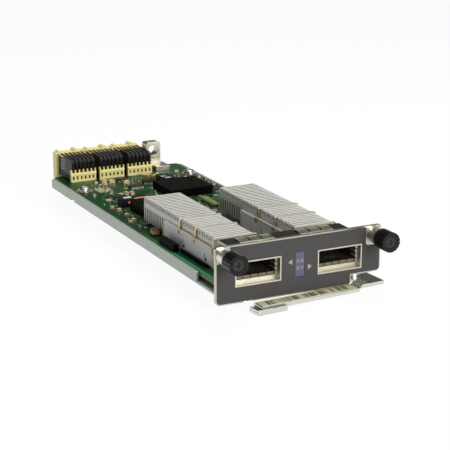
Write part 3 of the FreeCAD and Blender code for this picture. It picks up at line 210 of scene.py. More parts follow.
class Finish(Graph):
    """Procedural material of one finish."""

    def __init__(self, name, **constants):
        self.material = bpy.data.materials.new(name)
        self.material.use_nodes = True
        super().__init__(self.material.node_tree)
        self.tree.nodes.clear()
        self.output = self.node("ShaderNodeOutputMaterial")
        self.shader = self.node("ShaderNodeBsdfPrincipled")
        self.tree.links.new(self.shader.outputs[0], self.output.inputs[0])
        for name, value in constants.items():
            self.feed(self.shader.inputs[name.replace("_", " ").title().replace("Ior", "IOR")], value)

    def place(self):
        """Across, back and up over the card, in millimetres."""
        spot = self.node("ShaderNodeTexCoord").outputs["Object"]
        return [part * 1000 for part in self.split(spot)]

    def facing(self):
        """Parts of the outward direction."""
        return self.split(self.node("ShaderNodeNewGeometry").outputs["Normal"])

    def attribute(self, name):
        return Field(self, self.node("ShaderNodeAttribute", {"attribute_name": name}).outputs["Fac"])

    def grain(self, scale, detail=2.0, stretch=(1, 1, 1)):
        """Cloudy noise; scale is in waves per millimetre."""
        vector = self.join(*(part * factor for part, factor in zip(self.place(), stretch)))
        made = self.node("ShaderNodeTexNoise", inputs={"Vector": vector, "Scale": scale, "Detail": detail})
        return Field(self, made.outputs[0])

    def cells(self, scale, spot, metric="EUCLIDEAN", randomness=1.0):
        """Distance to the cell's middle and the cell's own random number."""
        made = self.node(
            "ShaderNodeTexVoronoi",
            {"feature": "F1", "distance": metric},
            {"Vector": self.join(*spot), "Scale": scale, "Randomness": randomness},
        )
        chance = self.split(made.outputs["Color"])[0]
        return Field(self, made.outputs["Distance"]), chance

    def mix(self, first, second, share):
        """Blend of two colours."""
        made = self.node("ShaderNodeMix", {"data_type": "RGBA"}, {0: share, 6: first, 7: second})
        return made.outputs[2]

    def band(self, value, low, high, soft=0.05):
        """One between low and high, nought outside."""
        middle, half = (low + high) / 2, (high - low) / 2
        return ((half - abs(value - middle)) / soft + 0.5).held()

    def step(self, value, edge, soft=0.05):
        """Nought below the edge and one above it."""
        return ((value - edge) / soft + 0.5).held()

    def plate(self, x, z, box, radius, soft=0.06):
        """Rounded rectangle: box is left, right, low and high."""
        left, right, low, high = box
        across = (abs(x - (left + right) / 2) - ((right - left) / 2 - radius)).work("MAXIMUM", 0.0)
        up = (abs(z - (low + high) / 2) - ((high - low) / 2 - radius)).work("MAXIMUM", 0.0)
        away = (across * across + up * up).work("SQRT")
        return ((radius - away) / soft + 0.5).held()

    def disc(self, x, z, centre, radius, soft=0.06):
        """Round patch."""
        away = ((x - centre[0]) * (x - centre[0]) + (z - centre[1]) * (z - centre[1])).work("SQRT")
        return ((radius - away) / soft + 0.5).held()

    def patches(self, across, up, boxes):
        """Rectangles: each box is left, right, low and high."""
        masks = [
            self.band(across, left, right) * self.band(up, low, high)
            for left, right, low, high in boxes
        ]
        return sum(masks[1:], masks[0])

    def arrow(self, x, z, tip, base, level):
        """Triangle that points sideways from its base to its tip."""
        run = x - tip if tip < base else tip - x
        slopes = ((run * 0.62 - abs(z - level)) / 0.06 + 0.5).held()
        return self.band(x, min(tip, base), max(tip, base)) * slopes

    def largest(self, masks):
        """All masks together."""
        first, *others = masks
        for mask in others:
            first = first.work("MAXIMUM", mask)
        return first

    def done(self, color, rough, relief, depth, metal=None):
        """Material with all that varies wired up; depth is the relief's, in millimetres."""
        bump = self.node("ShaderNodeBump", inputs={
            "Height": relief, "Distance": depth * MM, "Strength": 1.0,
        })
        varying = {"Base Color": color, "Roughness": rough, "Normal": bump.outputs[0]}
        if metal is not None:
            varying["Metallic"] = metal
        for name, value in varying.items():
            self.feed(self.shader.inputs[name], value)
        return self.material


# Pieces

def merged_mesh(node):
    """Copy of a CAD node's mesh with its loose triangles joined to plain faces."""
    mesh = frame["nodes"][node].data.copy()
    work = bmesh.new()
    work.from_mesh(mesh)
    bmesh.ops.remove_doubles(work, verts=work.verts, dist=2e-6)
    bmesh.ops.dissolve_limit(work, angle_limit=math.radians(0.4), verts=work.verts, edges=work.edges)
    work.to_mesh(mesh)
    work.free()
    return mesh


def holder_of(name, mesh):
    holder = bpy.data.objects.new(name, mesh)
    bpy.context.scene.collection.objects.link(holder)
    return holder


def baked(holder, name):
    """Plain mesh of an object with its modifiers, which is then removed."""
    depsgraph = bpy.context.evaluated_depsgraph_get()
    mesh = bpy.data.meshes.new_from_object(holder.evaluated_get(depsgraph))
    mesh.name = name
    bpy.data.objects.remove(holder)
    return mesh


def eased_mesh(name, mesh, width, cutters=()):
    """Mesh with pieces cut away and its sharp edges eased by a small chamfer."""
    holder = holder_of(name, mesh)
    for cutter in cutters:
        cut = holder.modifiers.new("cut", "BOOLEAN")
        cut.object = cutter
        cut.solver = "EXACT"
    if width:
        bevel = holder.modifiers.new("ease", "BEVEL")
        bevel.width = width * MM
        bevel.segments = 1
        bevel.limit_method = "ANGLE"
        bevel.angle_limit = math.radians(35)
    result = baked(holder, name)
    for cutter in cutters:
        bpy.data.objects.remove(cutter)
    result.shade_smooth()
    result.set_sharp_from_angle(angle=math.radians(40))
    holder = holder_of(name, result)
    level = holder.modifiers.new("level", "WEIGHTED_NORMAL")
    level.weight = 90
    level.keep_sharp = True
    return baked(holder, name)


def place_piece(name, mesh, finish, body, nodes=()):
    """Finished piece that rides on a body and may stand for CAD nodes."""
    piece = holder_of(name, mesh)
    mesh.materials.clear()
    mesh.materials.append(finish)
    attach(piece, body)
    if nodes:
        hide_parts(*nodes)
    return piece


def ease_node(node, finish, width, cutters=()):
    """CAD node with eased edges, in the node's own place."""
    mesh = eased_mesh(f"{node}_eased", merged_mesh(node), width, cutters)
    return place_piece(f"{node}_eased", mesh, finish, BODY_OF[node], [node])


def finish_node(node, finish):
    """CAD node as it is, with a procedural finish."""
    for slot in frame["nodes"][node].material_slots:
        slot.material = finish


def boxes_of(node):
    """Lowest and highest corners, in millimetres, of each separate solid of a node."""
    work = bmesh.new()
    work.from_mesh(merged_mesh(node))
    left = set(work.verts)
    found = []
    while left:
        group, front = [], [left.pop()]
        while front:
            vert = front.pop()
            group.append(vert.co)
            for edge in vert.link_edges:
                other = edge.other_vert(vert)
                if other in left:
                    left.remove(other)
                    front.append(other)
        low = [min(co[i] for co in group) / MM for i in range(3)]
        high = [max(co[i] for co in group) / MM for i in range(3)]
        found.append((low, high))
    work.free()
    return sorted(found)


def mesh_from(name, verts, faces):
    mesh = bpy.data.meshes.new(name)
    mesh.from_pydata([Vector(v) * MM for v in verts], [], faces)
    work = bmesh.new()
    work.from_mesh(mesh)
    bmesh.ops.recalc_face_normals(work, faces=work.faces)
    work.to_mesh(mesh)
    work.free()
    return mesh


def block_of(corners_low, corners_high):
    """Corners and faces of a box."""
    (x0, y0, z0), (x1, y1, z1) = corners_low, corners_high
    verts = [(x, y, z) for x in (x0, x1) for y in (y0, y1) for z in (z0, z1)]
    faces = [(0, 1, 3, 2), (4, 6, 7, 5), (0, 4, 5, 1), (2, 3, 7, 6), (0, 2, 6, 4), (1, 5, 7, 3)]
    return verts, faces


def joined(name, shapes):
    """One mesh of several shapes, each given by its corners and faces."""
    verts, faces = [], []
    for corners, sides in shapes:
        faces += [tuple(index + len(verts) for index in side) for side in sides]
        verts += corners
    return mesh_from(name, verts, faces)


def joined_blocks(name, boxes):
    return joined(name, [block_of(low, high) for low, high in boxes])


def prism_faces(count):
    """Faces across two like outlines and between them."""
    sides = [(i, (i + 1) % count, (i + 1) % count + count, i + count) for i in range(count)]
    return [tuple(range(count)), tuple(reversed(range(count, 2 * count))), *sides]


def turned(profile, centre, steps):
    """Corners and faces of a shape turned about an upright axis; the profile is radius and level."""
    verts, rings = [], []
    for radius, level in profile:
        count = steps if radius else 1
        rings.append([len(verts) + i for i in range(count)])
        for i in range(count):
            angle = math.tau * i / steps
            x, y = centre[0] + radius * math.cos(angle), centre[1] + radius * math.sin(angle)
            verts.append((x, y, level))
    faces = []
    for upper, lower in zip(rings, rings[1:]):
        for i in range(steps):
            near, far = i % len(upper), (i + 1) % len(upper)
            below, beyond = i % len(lower), (i + 1) % len(lower)
            corners = [upper[near], upper[far], lower[beyond], lower[below]]
            faces.append(tuple(dict.fromkeys(corners)))
    return verts, faces


def cross_cutter(centre, facing, sizes):
    """Tapered cross that cuts a screw's recess; facing is the axis that the head looks along."""
    reach, depth = sizes.recess_reach / MM, sizes.recess_depth / MM
    mouth, floor = (0.15, reach, 0.36), (-depth, reach * 0.45, 0.2)
    verts = []
    for level, long, half in (mouth, floor):
        quarter = [(long, -half), (long, half), (half, half)]
        for turn in (0, 90, 180, 270):
            spin = Matrix.Rotation(math.radians(turn), 2)
            verts += [(*(spin @ Vector(corner)), level) for corner in quarter]
    lean = Vector((0, 0, 1)).rotation_difference(Vector(facing)).to_matrix()
    verts = [lean @ Vector(v) + Vector(centre) for v in verts]
    return holder_of("cross_cutter", mesh_from("cross_cutter", verts, prism_faces(12)))


# Geometry node trees

def new_shape_tree(name, sizes):
    """Empty geometry tree with named inputs."""
    tree = bpy.data.node_groups.new(name, "GeometryNodeTree")
    tree.interface.new_socket("Geometry", in_out="INPUT", socket_type="NodeSocketGeometry")
    for label, value in sizes.items():
        socket = tree.interface.new_socket(label, in_out="INPUT", socket_type="NodeSocketFloat")
        socket.default_value = value
    tree.interface.new_socket("Finish", in_out="INPUT", socket_type="NodeSocketMaterial")
    tree.interface.new_socket("Geometry", in_out="OUTPUT", socket_type="NodeSocketGeometry")
    graph = Graph(tree)
    graph.source = graph.node("NodeGroupInput")
    graph.result = graph.node("NodeGroupOutput")
    graph.sizes = {label: Field(graph, graph.source.outputs[label]) for label in sizes}
    return graph


def close_shape_tree(graph, geometry):
    real = graph.node("GeometryNodeRealizeInstances", inputs={"Geometry": geometry})
    painted = graph.node(
        "GeometryNodeSetMaterial",
        inputs={"Geometry": real.outputs[0], "Material": graph.source.outputs["Finish"]},
    )
    graph.feed(graph.result.inputs[0], painted.outputs[0])
    return graph.tree


def bar(graph, size, centre, tin=0.0):
    """Box in a geometry tree, marked as bare metal or not."""
    cube = graph.node("GeometryNodeMeshCube", inputs={"Size": graph.join(*size)})
    moved = graph.node(
        "GeometryNodeTransform",
        inputs={"Geometry": cube.outputs[0], "Translation": graph.join(*centre)},
    )
    marked = graph.node(
        "GeometryNodeStoreNamedAttribute",
        {"data_type": "FLOAT", "domain": "FACE"},
        {"Geometry": moved.outputs[0], "Name": "tin", "Value": tin},
    )
    return marked.outputs[0]


def gathered(graph, parts):
    made = graph.node("GeometryNodeJoinGeometry")
    for part in parts:
        graph.tree.links.new(part, made.inputs[0])
    return made.outputs[0]


def on_points(graph, shape):
    """Shape repeated on each point, turned and sized by the point's own numbers."""
    turn = graph.node("GeometryNodeInputNamedAttribute", {"data_type": "FLOAT"}, {"Name": "turn"})
    size = graph.node("GeometryNodeInputNamedAttribute", {"data_type": "FLOAT_VECTOR"}, {"Name": "size"})
    made = graph.node("GeometryNodeInstanceOnPoints", inputs={
        "Points": graph.source.outputs["Geometry"],
        "Instance": shape,
        "Rotation": graph.join(0.0, 0.0, turn.outputs[0]),
        "Scale": size.outputs[0],
    })
    return made.outputs["Instances"]


def chip_part_tree():
    """Small two-ended part: a body between two tinned caps, a unit long, wide and high."""
    graph = new_shape_tree("two_ended_part", {"Cap": 0.22, "Step": 0.06})
    cap, step = graph.sizes["Cap"], graph.sizes["Step"]
    body = bar(graph, (1 - cap * 2, 1 - step, 1 - step), (0.0, 0.0, (1 - step) * 0.5))
    left = bar(graph, (cap, 1.0, 1.0), (cap * 0.5 - 0.5, 0.0, 0.5), 1.0)
    right = bar(graph, (cap, 1.0, 1.0), (0.5 - cap * 0.5, 0.0, 0.5), 1.0)
    return close_shape_tree(graph, on_points(graph, gathered(graph, [body, left, right])))


def lead_tree():
    """Bent lead of a chip: shoulder, leg and foot; it reaches along +X from the chip's side."""
    graph = new_shape_tree("bent_lead", {
        "Width": 0.0003, "Reach": 0.0009, "Rise": 0.0006, "Sheet": 0.00015,
    })
    width, reach = graph.sizes["Width"], graph.sizes["Reach"]
    rise, sheet = graph.sizes["Rise"], graph.sizes["Sheet"]
    shoulder = bar(graph, (reach * 0.5, width, sheet), (reach * 0.2, 0.0, rise - sheet * 0.5), 1.0)
    leg = bar(graph, (sheet, width, rise), (reach * 0.45, 0.0, rise * 0.5), 1.0)
    foot = bar(graph, (reach * 0.55, width, sheet), (reach * 0.72, 0.0, sheet * 0.5), 1.0)
    return close_shape_tree(graph, on_points(graph, gathered(graph, [shoulder, leg, foot])))


def blade_tree():
    """Flat contact with a bevelled tip, a unit long along Y."""
    graph = new_shape_tree("contact_blade", {"Tip": 0.2})
    tip = graph.sizes["Tip"]
    shank = bar(graph, (1.0, 1 - tip, 1.0), (0.0, tip * -0.5, 0.0), 1.0)
    point = bar(graph, (0.55, tip, 0.5), (0.0, 0.5 - tip * 0.5, 0.0), 1.0)
    return close_shape_tree(graph, on_points(graph, gathered(graph, [shank, point])))


def point_mesh(name, spots):
    """Points with a turn in degrees, a size and a tone each; places and sizes are in millimetres."""
    mesh = bpy.data.meshes.new(name)
    mesh.from_pydata([Vector(spot[0]) * MM for spot in spots], [], [])
    for label, kind in (("turn", "FLOAT"), ("size", "FLOAT_VECTOR"), ("tone", "FLOAT")):
        mesh.attributes.new(label, kind, "POINT")
    turn, size, tone = (mesh.attributes[label].data for label in ("turn", "size", "tone"))
    for index, (_, degrees, scale, shade) in enumerate(spots):
        turn[index].value = math.radians(degrees)
        size[index].vector = scale
        tone[index].value = shade
    return mesh


def grown_mesh(name, tree, points, finish, **sizes):
    """Plain mesh that a geometry tree makes from points."""
    holder = holder_of(name, points)
    grow = holder.modifiers.new("grow", "NODES")
    grow.node_group = tree
    for item in tree.interface.items_tree:
        if item.in_out == "INPUT" and item.name == "Finish":
            grow[item.identifier] = finish
        elif item.in_out == "INPUT" and item.name.lower() in sizes:
            grow[item.identifier] = sizes[item.name.lower()]
    return baked(holder, name)


def grow_piece(name, tree, spots, finish, like, nodes=(), **sizes):
    """Piece that a geometry tree makes on the card; the like node is not used."""
    mesh = grown_mesh(name, tree, point_mesh(name, spots), finish, **sizes)
    place_piece(name, mesh, finish, "card", nodes)


# Finishes

def faceplate_finish(colors):
    """Grey print on nickel-plated sheet, with bare rims, bare corners and two printed triangles; the flange
    behind the front face has a painted dark reflection.
    """
    finish = Finish("faceplate_print", specular_ior_level=0.3)
    x, y, z = finish.place()
    _, facing_y, _ = finish.facing()
    front = finish.step(facing_y * -1, 0.5, 0.2)
    field = finish.plate(x, z, (-35.5, 35.55, 0.45, 22.5), 1.7)
    bare = finish.largest(finish.plate(x, z, box, radius) for box, radius in (
        ((-40.0, -29.9, 16.5, 30.0), 1.2),
        ((29.3, 40.0, 15.2, 30.0), 1.2),
        ((22.4, 40.0, -5.0, 4.5), 0.4),
        ((-27.8, -7.8, 6.1, 16.2), 0.3),
        ((7.8, 27.8, 6.1, 16.2), 0.3),
    ))
    printed = field * front * (1 - bare)
    marks = finish.arrow(x, z, -5.1, -3.35, 13.0) + finish.arrow(x, z, 5.25, 3.5, 10.2)
    cloud = finish.grain(0.35, 3.0)
    grain = finish.grain(9.0, 2.0)
    paint = finish.mix(colors.print_dark, colors.print_light, cloud * 0.6 + grain * 0.4)
    inked = finish.mix(paint, (0.28, 0.28, 0.23), marks)
    brushed = finish.grain(4.0, 3.0, stretch=(0.15, 1, 1.6))
    plating = finish.mix((0.4, 0.385, 0.33), (0.62, 0.6, 0.52), brushed)
    # Painted reflection: the flange behind the front face gets a darker plating tone for the dark
    # surroundings it mirrors.
    flange = finish.step(y, 0.4, 0.2)
    plating = finish.mix(plating, (0.3, 0.3, 0.27), flange)
    return finish.done(
        color=finish.mix(plating, inked, printed),
        metal=1 - printed,
        rough=0.2 - flange * 0.1 + printed * 0.24 + grain * (1 - flange) * 0.1,
        relief=grain * printed + brushed * 0.1 * (1 - printed) * (1 - flange),
        depth=0.006,
    )


def sheet_finish(name, dark, light, roughness, metallic=1.0, stretch=(1, 1, 1), relief=0.006):
    """Plated metal with faint rolling marks and finger smudges."""
    finish = Finish(name, metallic=metallic)
    cloud = finish.grain(0.12, 3.0)
    lines = finish.grain(6.0, 3.0, stretch=stretch)
    return finish.done(
        color=finish.mix(dark, light, cloud * 0.5 + lines * 0.5),
        rough=roughness + cloud * 0.12 + lines * 0.06,
        relief=lines, depth=relief,
    )


def lining_finish():
    """Bright lining of a port, with painted shade in the gaps between its sprung fingers, in the slots of
    its side walls and along its fold, and over the web deeper in the port.
    """
    finish = Finish("lining_nickel")
    x, y, z = finish.place()
    cloud = finish.grain(0.3, 3.0)
    lines = finish.grain(6.0, 3.0, stretch=(0.2, 1, 1))
    body = finish.mix((0.5, 0.48, 0.38), (0.72, 0.69, 0.58), cloud * 0.5 + lines * 0.5)
    across = abs(x) - PORT_MIDDLE
    deep = finish.step(y, 2.1, 0.1)
    above = finish.step(z, 8.1, 0.1)
    lane = ((across + 8.5) / 3.4 + 0.5).work("FRACT")
    # Painted shade: dark lines where the gaps between the fingers, the slots of the side walls and the fold
    # would lie in shade.
    gaps = finish.band(lane, 0.4, 0.6, 0.04) * above * (1 - finish.step(z, 9.45, 0.1))
    rungs = finish.band(((z - 9.6) / 1.9).work("FRACT"), 0.72, 1.0, 0.06)
    sides = rungs * finish.step(abs(across), 8.7, 0.1) * finish.step(z, 8.4, 0.1)
    fold = finish.band(z, 7.9, 8.25, 0.08) * (1 - finish.step(abs(across), 8.9, 0.1))
    dark = ((gaps + sides + fold) * deep).held()
    # Painted shade: the web deeper in the port is darkened, except beside the side walls.
    shaded = above * (1 - finish.step(abs(across), 8.8, 0.1)) * deep
    shade = finish.mix((1.0, 1.0, 1.0), (0.3, 0.28, 0.2), shaded)
    shaded_body = finish.node(
        "ShaderNodeMix", {"data_type": "RGBA", "blend_type": "MULTIPLY"}, {0: 1.0, 6: body, 7: shade},
    )
    return finish.done(
        color=finish.mix(shaded_body.outputs[2], (0.03, 0.028, 0.02), dark * 0.9),
        metal=0.9 - dark * 0.5,
        rough=0.3 + cloud * 0.12 + dark * 0.2,
        relief=lines * 0.1 - dark, depth=0.02,
    )


def cage_finish(colors):
    """Lavender-grey plated sheet with cut edges; a dark disc of painted shade in the round hole beside each
    tab, and painted shade over the inside.
    """
    finish = Finish("cage_sheet", specular_ior_level=0.3)
    x, y, z = finish.place()
    facing_x, facing_y, _ = finish.facing()
    cloud = finish.grain(0.1, 3.0)
    lines = finish.grain(5.0, 3.0, stretch=(1, 0.15, 1))
    cut_metal = (0.42, 0.3, 0.18)
    body = finish.mix(colors.cage_dark, colors.cage_light, cloud * 0.5 + lines * 0.5)
    body = finish.mix(body, cut_metal, finish.step(abs(facing_y), 0.75, 0.2))
    side = finish.step(abs(facing_x), 0.8, 0.1)
    # Painted shade: a dark disc in each round hole of the side walls.
    hole_shade = finish.largest(finish.disc(y, z, (back, 10.2), 0.75) for back in (24.3, 44.3)) * side
    ticks = finish.patches(y, z, ((25.2, 25.6, 10.3, 12.0), (45.2, 45.6, 10.3, 12.0)))
    ends = finish.band(y, 63.6, 64.6) + finish.band(y, 18.1, 18.7)
    body = finish.mix(body, cut_metal, ((ticks + ends) * side).held())
    # Painted shade: the cage's inner faces seen through the port are darkened.
    inside = (1 - finish.step(abs(abs(x) - PORT_MIDDLE), 9.8, 0.1)) * finish.band(z, 8.1, 15.45, 0.1)
    body = finish.mix(body, (0.035, 0.032, 0.028), inside)
    specks, luck = finish.cells(1.1, (x, y * 0.6, z), randomness=0.9)
    gilt = (specks < 0.22) * (luck > 0.7) * inside * finish.band(y, 8.0, 30.0)
    body = finish.mix(body, (0.9, 0.78, 0.35), gilt)
    return finish.done(
        color=finish.mix(body, (0.015, 0.013, 0.012), hole_shade),
        rough=0.5 + cloud * 0.1 + hole_shade * 0.3,
        relief=lines * 0.4 - hole_shade, depth=0.02,
    )


def board_finish(colors):
    """Solder mask with tracks, vias with painted shade in their holes, tinned pads and printed outlines."""
    finish = Finish("board_mask", specular_ior_level=0.15, coat_weight=0.12, coat_roughness=0.08)
    x, y, z = finish.place()
    level = z * 0
    _, _, facing_z = finish.facing()
    top = finish.step(facing_z, 0.5, 0.2)
    cloud = finish.grain(0.05, 3.0)
    _, chance = finish.cells(0.16, (x, y, level), metric="CHEBYCHEV", randomness=0.8)
    lengthwise = chance > 0.66
    slanted = (chance > 0.33) - lengthwise
    run = x * lengthwise + y * (1 - lengthwise - slanted) + (x * 0.707 + y * 0.707) * slanted
    tracks = finish.band(run.work("FRACT"), 0.2, 0.55, 0.1) * (finish.grain(0.22, 2.0) > 0.47)
    mask = finish.mix(colors.board_dark, colors.board_light, (tracks * 0.55 + cloud * 0.45).held())
    left_rim = finish.band(x, -33.6, -31.8, 0.1) * (1 - finish.step(y, 60.0, 40.0))
    right_rim = finish.band(x, 30.5, 31.4, 0.1) * 0.5
    mask = finish.mix(mask, (0.01, 0.32, 0.1), (left_rim + right_rim) * 0.9)
    free = (1 - finish.step(y, 163.0, 0.3)) * finish.step(x, -27.0, 1.0)
    via, luck = finish.cells(0.55, (x, y, level), randomness=0.75)
    rings = (via < 0.2) * (luck > 0.45) * free
    # Painted shade: the middle of each via is dark where its hole lies in shade.
    drilled_shade = (via < 0.09) * (luck > 0.45) * free
    pads, fate = finish.cells(0.62, (x, y * 1.7, level), metric="CHEBYCHEV", randomness=0.5)
    tinned = (pads < 0.22) * (fate > 0.74) * (finish.grain(0.11, 2.0) > 0.5) * free
    outlines, lot = finish.cells(0.34, (x, y * 0.8, level), metric="CHEBYCHEV", randomness=0.6)
    outline = finish.band(outlines, 0.37, 0.41, 0.012) * (lot > 0.62) * free
    land = finish.plate(x, y, (-24.0, -17.2, 143.0, 150.2), 0.4)
    seats = finish.largest(finish.disc(x, y, screw, 3.7) for screw in BOARD_SCREWS)
    metal = (rings + tinned + seats).held() * (1 - drilled_shade) * top
    ink = (outline + land * 0.75).held() * (1 - metal) * top
    body = finish.mix(mask, (0.4, 0.42, 0.27), ink)
    body = finish.mix(body, (0.55, 0.46, 0.22), metal)
    body = finish.mix(body, (0.01, 0.03, 0.02), drilled_shade * top)
    body = finish.mix(body, (0.1, 0.07, 0.03), (1 - finish.step(x, -33.1, 0.2)) * top)
    edge = 1 - finish.step(abs(facing_z), 0.5, 0.2)
    core = finish.mix((0.09, 0.1, 0.035), (0.02, 0.14, 0.06), finish.band(z, 7.6, 8.1, 0.2))
    return finish.done(
        color=finish.mix(body, core, edge),
        metal=metal * 0.85,
        rough=0.34 + ink * 0.3 + cloud * 0.1,
        relief=tracks * 0.4 + ink * 0.3 + metal * 0.5 - drilled_shade, depth=0.03,
    )


def moulded_finish(name, dark, light, roughness, relief=0.02, scale=3.0, **constants):
    """Moulded plastic: fine spark-eroded grain and slow shifts of tone."""
    finish = Finish(name, **constants)
    cloud = finish.grain(0.2, 3.0)
    grain = finish.grain(scale, 3.0)
    return finish.done(
        color=finish.mix(dark, light, cloud * 0.6 + grain * 0.4),
        rough=roughness + grain * 0.12,
        relief=grain, depth=relief,
    )


def wafer_finish():
    """Black wafers; the outermost side shows its slanted ribs and a raised foot."""
    finish = Finish("wafer_black", specular_ior_level=0.17)
    _, y, z = finish.place()
    facing_x, _, _ = finish.facing()
    cloud = finish.grain(0.2, 3.0)
    grain = finish.grain(3.0, 3.0)
    outer = finish.step(abs(facing_x), 0.9, 0.1)
    slant = z + (y - 172.0) * 0.25
    ribs = finish.band((slant / 1.1).work("FRACT"), 0.25, 0.7, 0.1)
    ribs = ribs * finish.band(y, 174.5, 180.0, 0.1) * finish.band(slant, 12.9, 18.3, 0.1) * outer
    foot = (1 - finish.step(z, 10.9, 0.15)) * outer
    body = finish.mix((0.003, 0.003, 0.003), (0.008, 0.0078, 0.007), cloud * 0.6 + grain * 0.4)
    return finish.done(
        color=finish.mix(body, (0.4, 0.37, 0.28), ribs * 0.75),
        rough=0.32 + grain * 0.12 + foot * 0.15,
        relief=grain * 0.05 + ribs * 0.5 + foot, depth=0.12,
    )


def small_part_finish():
    """Chip parts: a body whose tone the point gives, and tinned ends."""
    finish = Finish("small_part_body")
    tin = finish.attribute("tin")
    body = finish.node("ShaderNodeValToRGB", {"stops": [
        (0.0, (0.02, 0.02, 0.022)),
        (0.45, (0.03, 0.028, 0.03)),
        (0.55, (0.62, 0.3, 0.05)),
        (0.8, (0.6, 0.47, 0.2)),
        (1.0, (0.7, 0.62, 0.4)),
    ]}, {0: finish.attribute("tone")}).outputs[0]
    grain = finish.grain(5.0, 2.0)
    return finish.done(
        color=finish.mix(body, (0.7, 0.62, 0.44), tin),
        metal=tin * 0.9,
        rough=0.5 - tin * 0.18 + grain * 0.1,
        relief=grain, depth=0.02,
    )


def relay_finish():
    """Black cases with pale printed fields, an orange edge stripe and a small orange dot."""
    finish = Finish("relay_case", specular_ior_level=0.2)
    x, y, z = finish.place()
    _, facing_y, facing_z = finish.facing()
    top = finish.step(facing_z, 0.6, 0.2)
    front = finish.step(facing_y * -1, 0.6, 0.2)
    grain = finish.grain(4.0, 3.0)
    near = finish.patches(x, y, [(-23.2, -19.4, 116.2, 118.6)]) * (finish.grain(1.4, 2.0) > 0.46)
    far = finish.patches(x, y, ((7.3, 9.8, 144.2, 145.6), (8.4, 11.0, 141.3, 142.6)))
    far = far * (finish.grain(1.6, 2.0) > 0.45)
    body = finish.mix((0.006, 0.006, 0.006), (0.014, 0.014, 0.014), grain)
    for tone, mask in (
        ((0.7, 0.7, 0.68), (near + far) * top),
        ((0.75, 0.38, 0.06), finish.patches(x, y, [(-18.9, -12.4, 114.4, 115.4)]) * top),
        ((0.012, 0.014, 0.03), finish.patches(x, z, [(-18.9, -12.4, 10.2, 10.9)]) * front),
        ((0.8, 0.22, 0.03), finish.patches(x, z, [(-22.1, -20.9, 9.5, 10.6)]) * front),
    ):
        body = finish.mix(body, tone, mask)
    return finish.done(color=body, rough=0.42 + grain * 0.12, relief=grain, depth=0.02)


def window_finish(colors):
    """Smoked violet window with two rows of pale fields."""
    finish = Finish("window_film", specular_ior_level=0.3)
    x, _, z = finish.place()
    _, facing_y, _ = finish.facing()
    front = finish.step(facing_y * -1, 0.5, 0.2)
    grain = finish.grain(2.5, 3.0)
    body = finish.mix(colors.window_dark, colors.window_light, grain)
    rows = finish.band(z, 12.3, 13.7, 0.3) + finish.band(z, 9.6, 10.9, 0.3)
    columns = finish.band(x, -1.45, -0.2, 0.3) + finish.band(x, 0.3, 1.5, 0.3)
    fields = rows * columns * front * (finish.grain(2.2, 1.0) > 0.42)
    return finish.done(
        color=finish.mix(body, (0.22, 0.22, 0.15), fields * 0.7),
        rough=0.32 + grain * 0.1,
        relief=fields, depth=0.01,
    )


def label_finish():
    """Cream film with a row of uneven dark bars."""
    finish = Finish("label_film", specular_ior_level=0.25)
    x, y, _ = finish.place()
    _, _, facing_z = finish.facing()
    grain = finish.grain(1.5, 3.0)
    film = finish.mix((0.5, 0.48, 0.28), (0.58, 0.56, 0.35), grain)
    lane = (x * 1.9).work("FLOOR")
    white = finish.node("ShaderNodeTexWhiteNoise", {"noise_dimensions": "1D"}, {"W": lane})
    chance = Field(finish, white.outputs[0])
    along_lever = y - x * math.tan(math.radians(LEVER_LEAN))
    bars = (chance > 0.4) * finish.band(x, -16.5, 20.0) * finish.band(along_lever, -6.0, -2.0, 0.1)
    bars = bars * finish.step(facing_z, 0.5, 0.2)
    return finish.done(
        color=finish.mix(film, (0.02, 0.018, 0.012), bars * (0.35 + chance * 0.65)),
        rough=0.45 + grain * 0.1,
        relief=grain, depth=0.01,
    )


def sink_finish(colors):
    """Cut aluminium with saw lines: painted light on the fin tops and ends, and painted shade on the faces
    between the fins.
    """
    finish = Finish("sink_metal")
    x, y, z = finish.place()
    facing_x, _, facing_z = finish.facing()
    saw = finish.grain(2.6, 3.0, stretch=(0.25, 2.0, 0.25))
    cloud = finish.grain(0.15, 2.0)
    # Painted light and shade: tops and ends are lit, the faces between the fins shaded, with less shade in
    # the front sections and near the outer sides.
    top = finish.step(facing_z, 0.7, 0.2) * finish.step(z, 19.0, 0.2)
    end = finish.step(abs(facing_x), 0.8, 0.2)
    front = 1 - finish.step(y, 53.0, 0.4)
    rim = finish.largest((front, finish.step(abs(abs(x) - PORT_MIDDLE), 6.6, 0.6)))
    painted_light = finish.largest((top, end * 0.7, rim * 0.45)) * (0.75 - rim * 0.18)
    bright = (painted_light + saw * 0.2 + cloud * 0.1).held()
    return finish.done(
        color=finish.mix(colors.sink_shaded, colors.sink_lit, bright),
        metal=0.35,
        rough=0.4 + saw * 0.12,
        relief=saw, depth=0.02,
    )


def clip_finish():
    """Sprung clips: pale straps over the fins, copper-toned where they come down the sides."""
    finish = Finish("clip_spring", metallic=0.7)
    _, _, facing_z = finish.facing()
    grain = finish.grain(4.0, 3.0)
    strap = finish.mix((0.66, 0.63, 0.53), (0.84, 0.81, 0.71), grain)
    leg = finish.mix((0.42, 0.31, 0.19), (0.58, 0.45, 0.29), grain)
    return finish.done(
        color=finish.mix(leg, strap, finish.step(facing_z, 0.5, 0.3)),
        rough=0.28 + grain * 0.12,
        relief=grain, depth=0.003,
    )


def contact_finish():
    """Gold-flashed contacts."""
    finish = Finish("contact_gold", metallic=1.0)
    grain = finish.grain(4.0, 2.0)
    return finish.done(
        color=finish.mix((0.5, 0.36, 0.14), (0.72, 0.55, 0.26), grain),
        rough=0.25 + grain * 0.15,
        relief=grain, depth=0.008,
    )


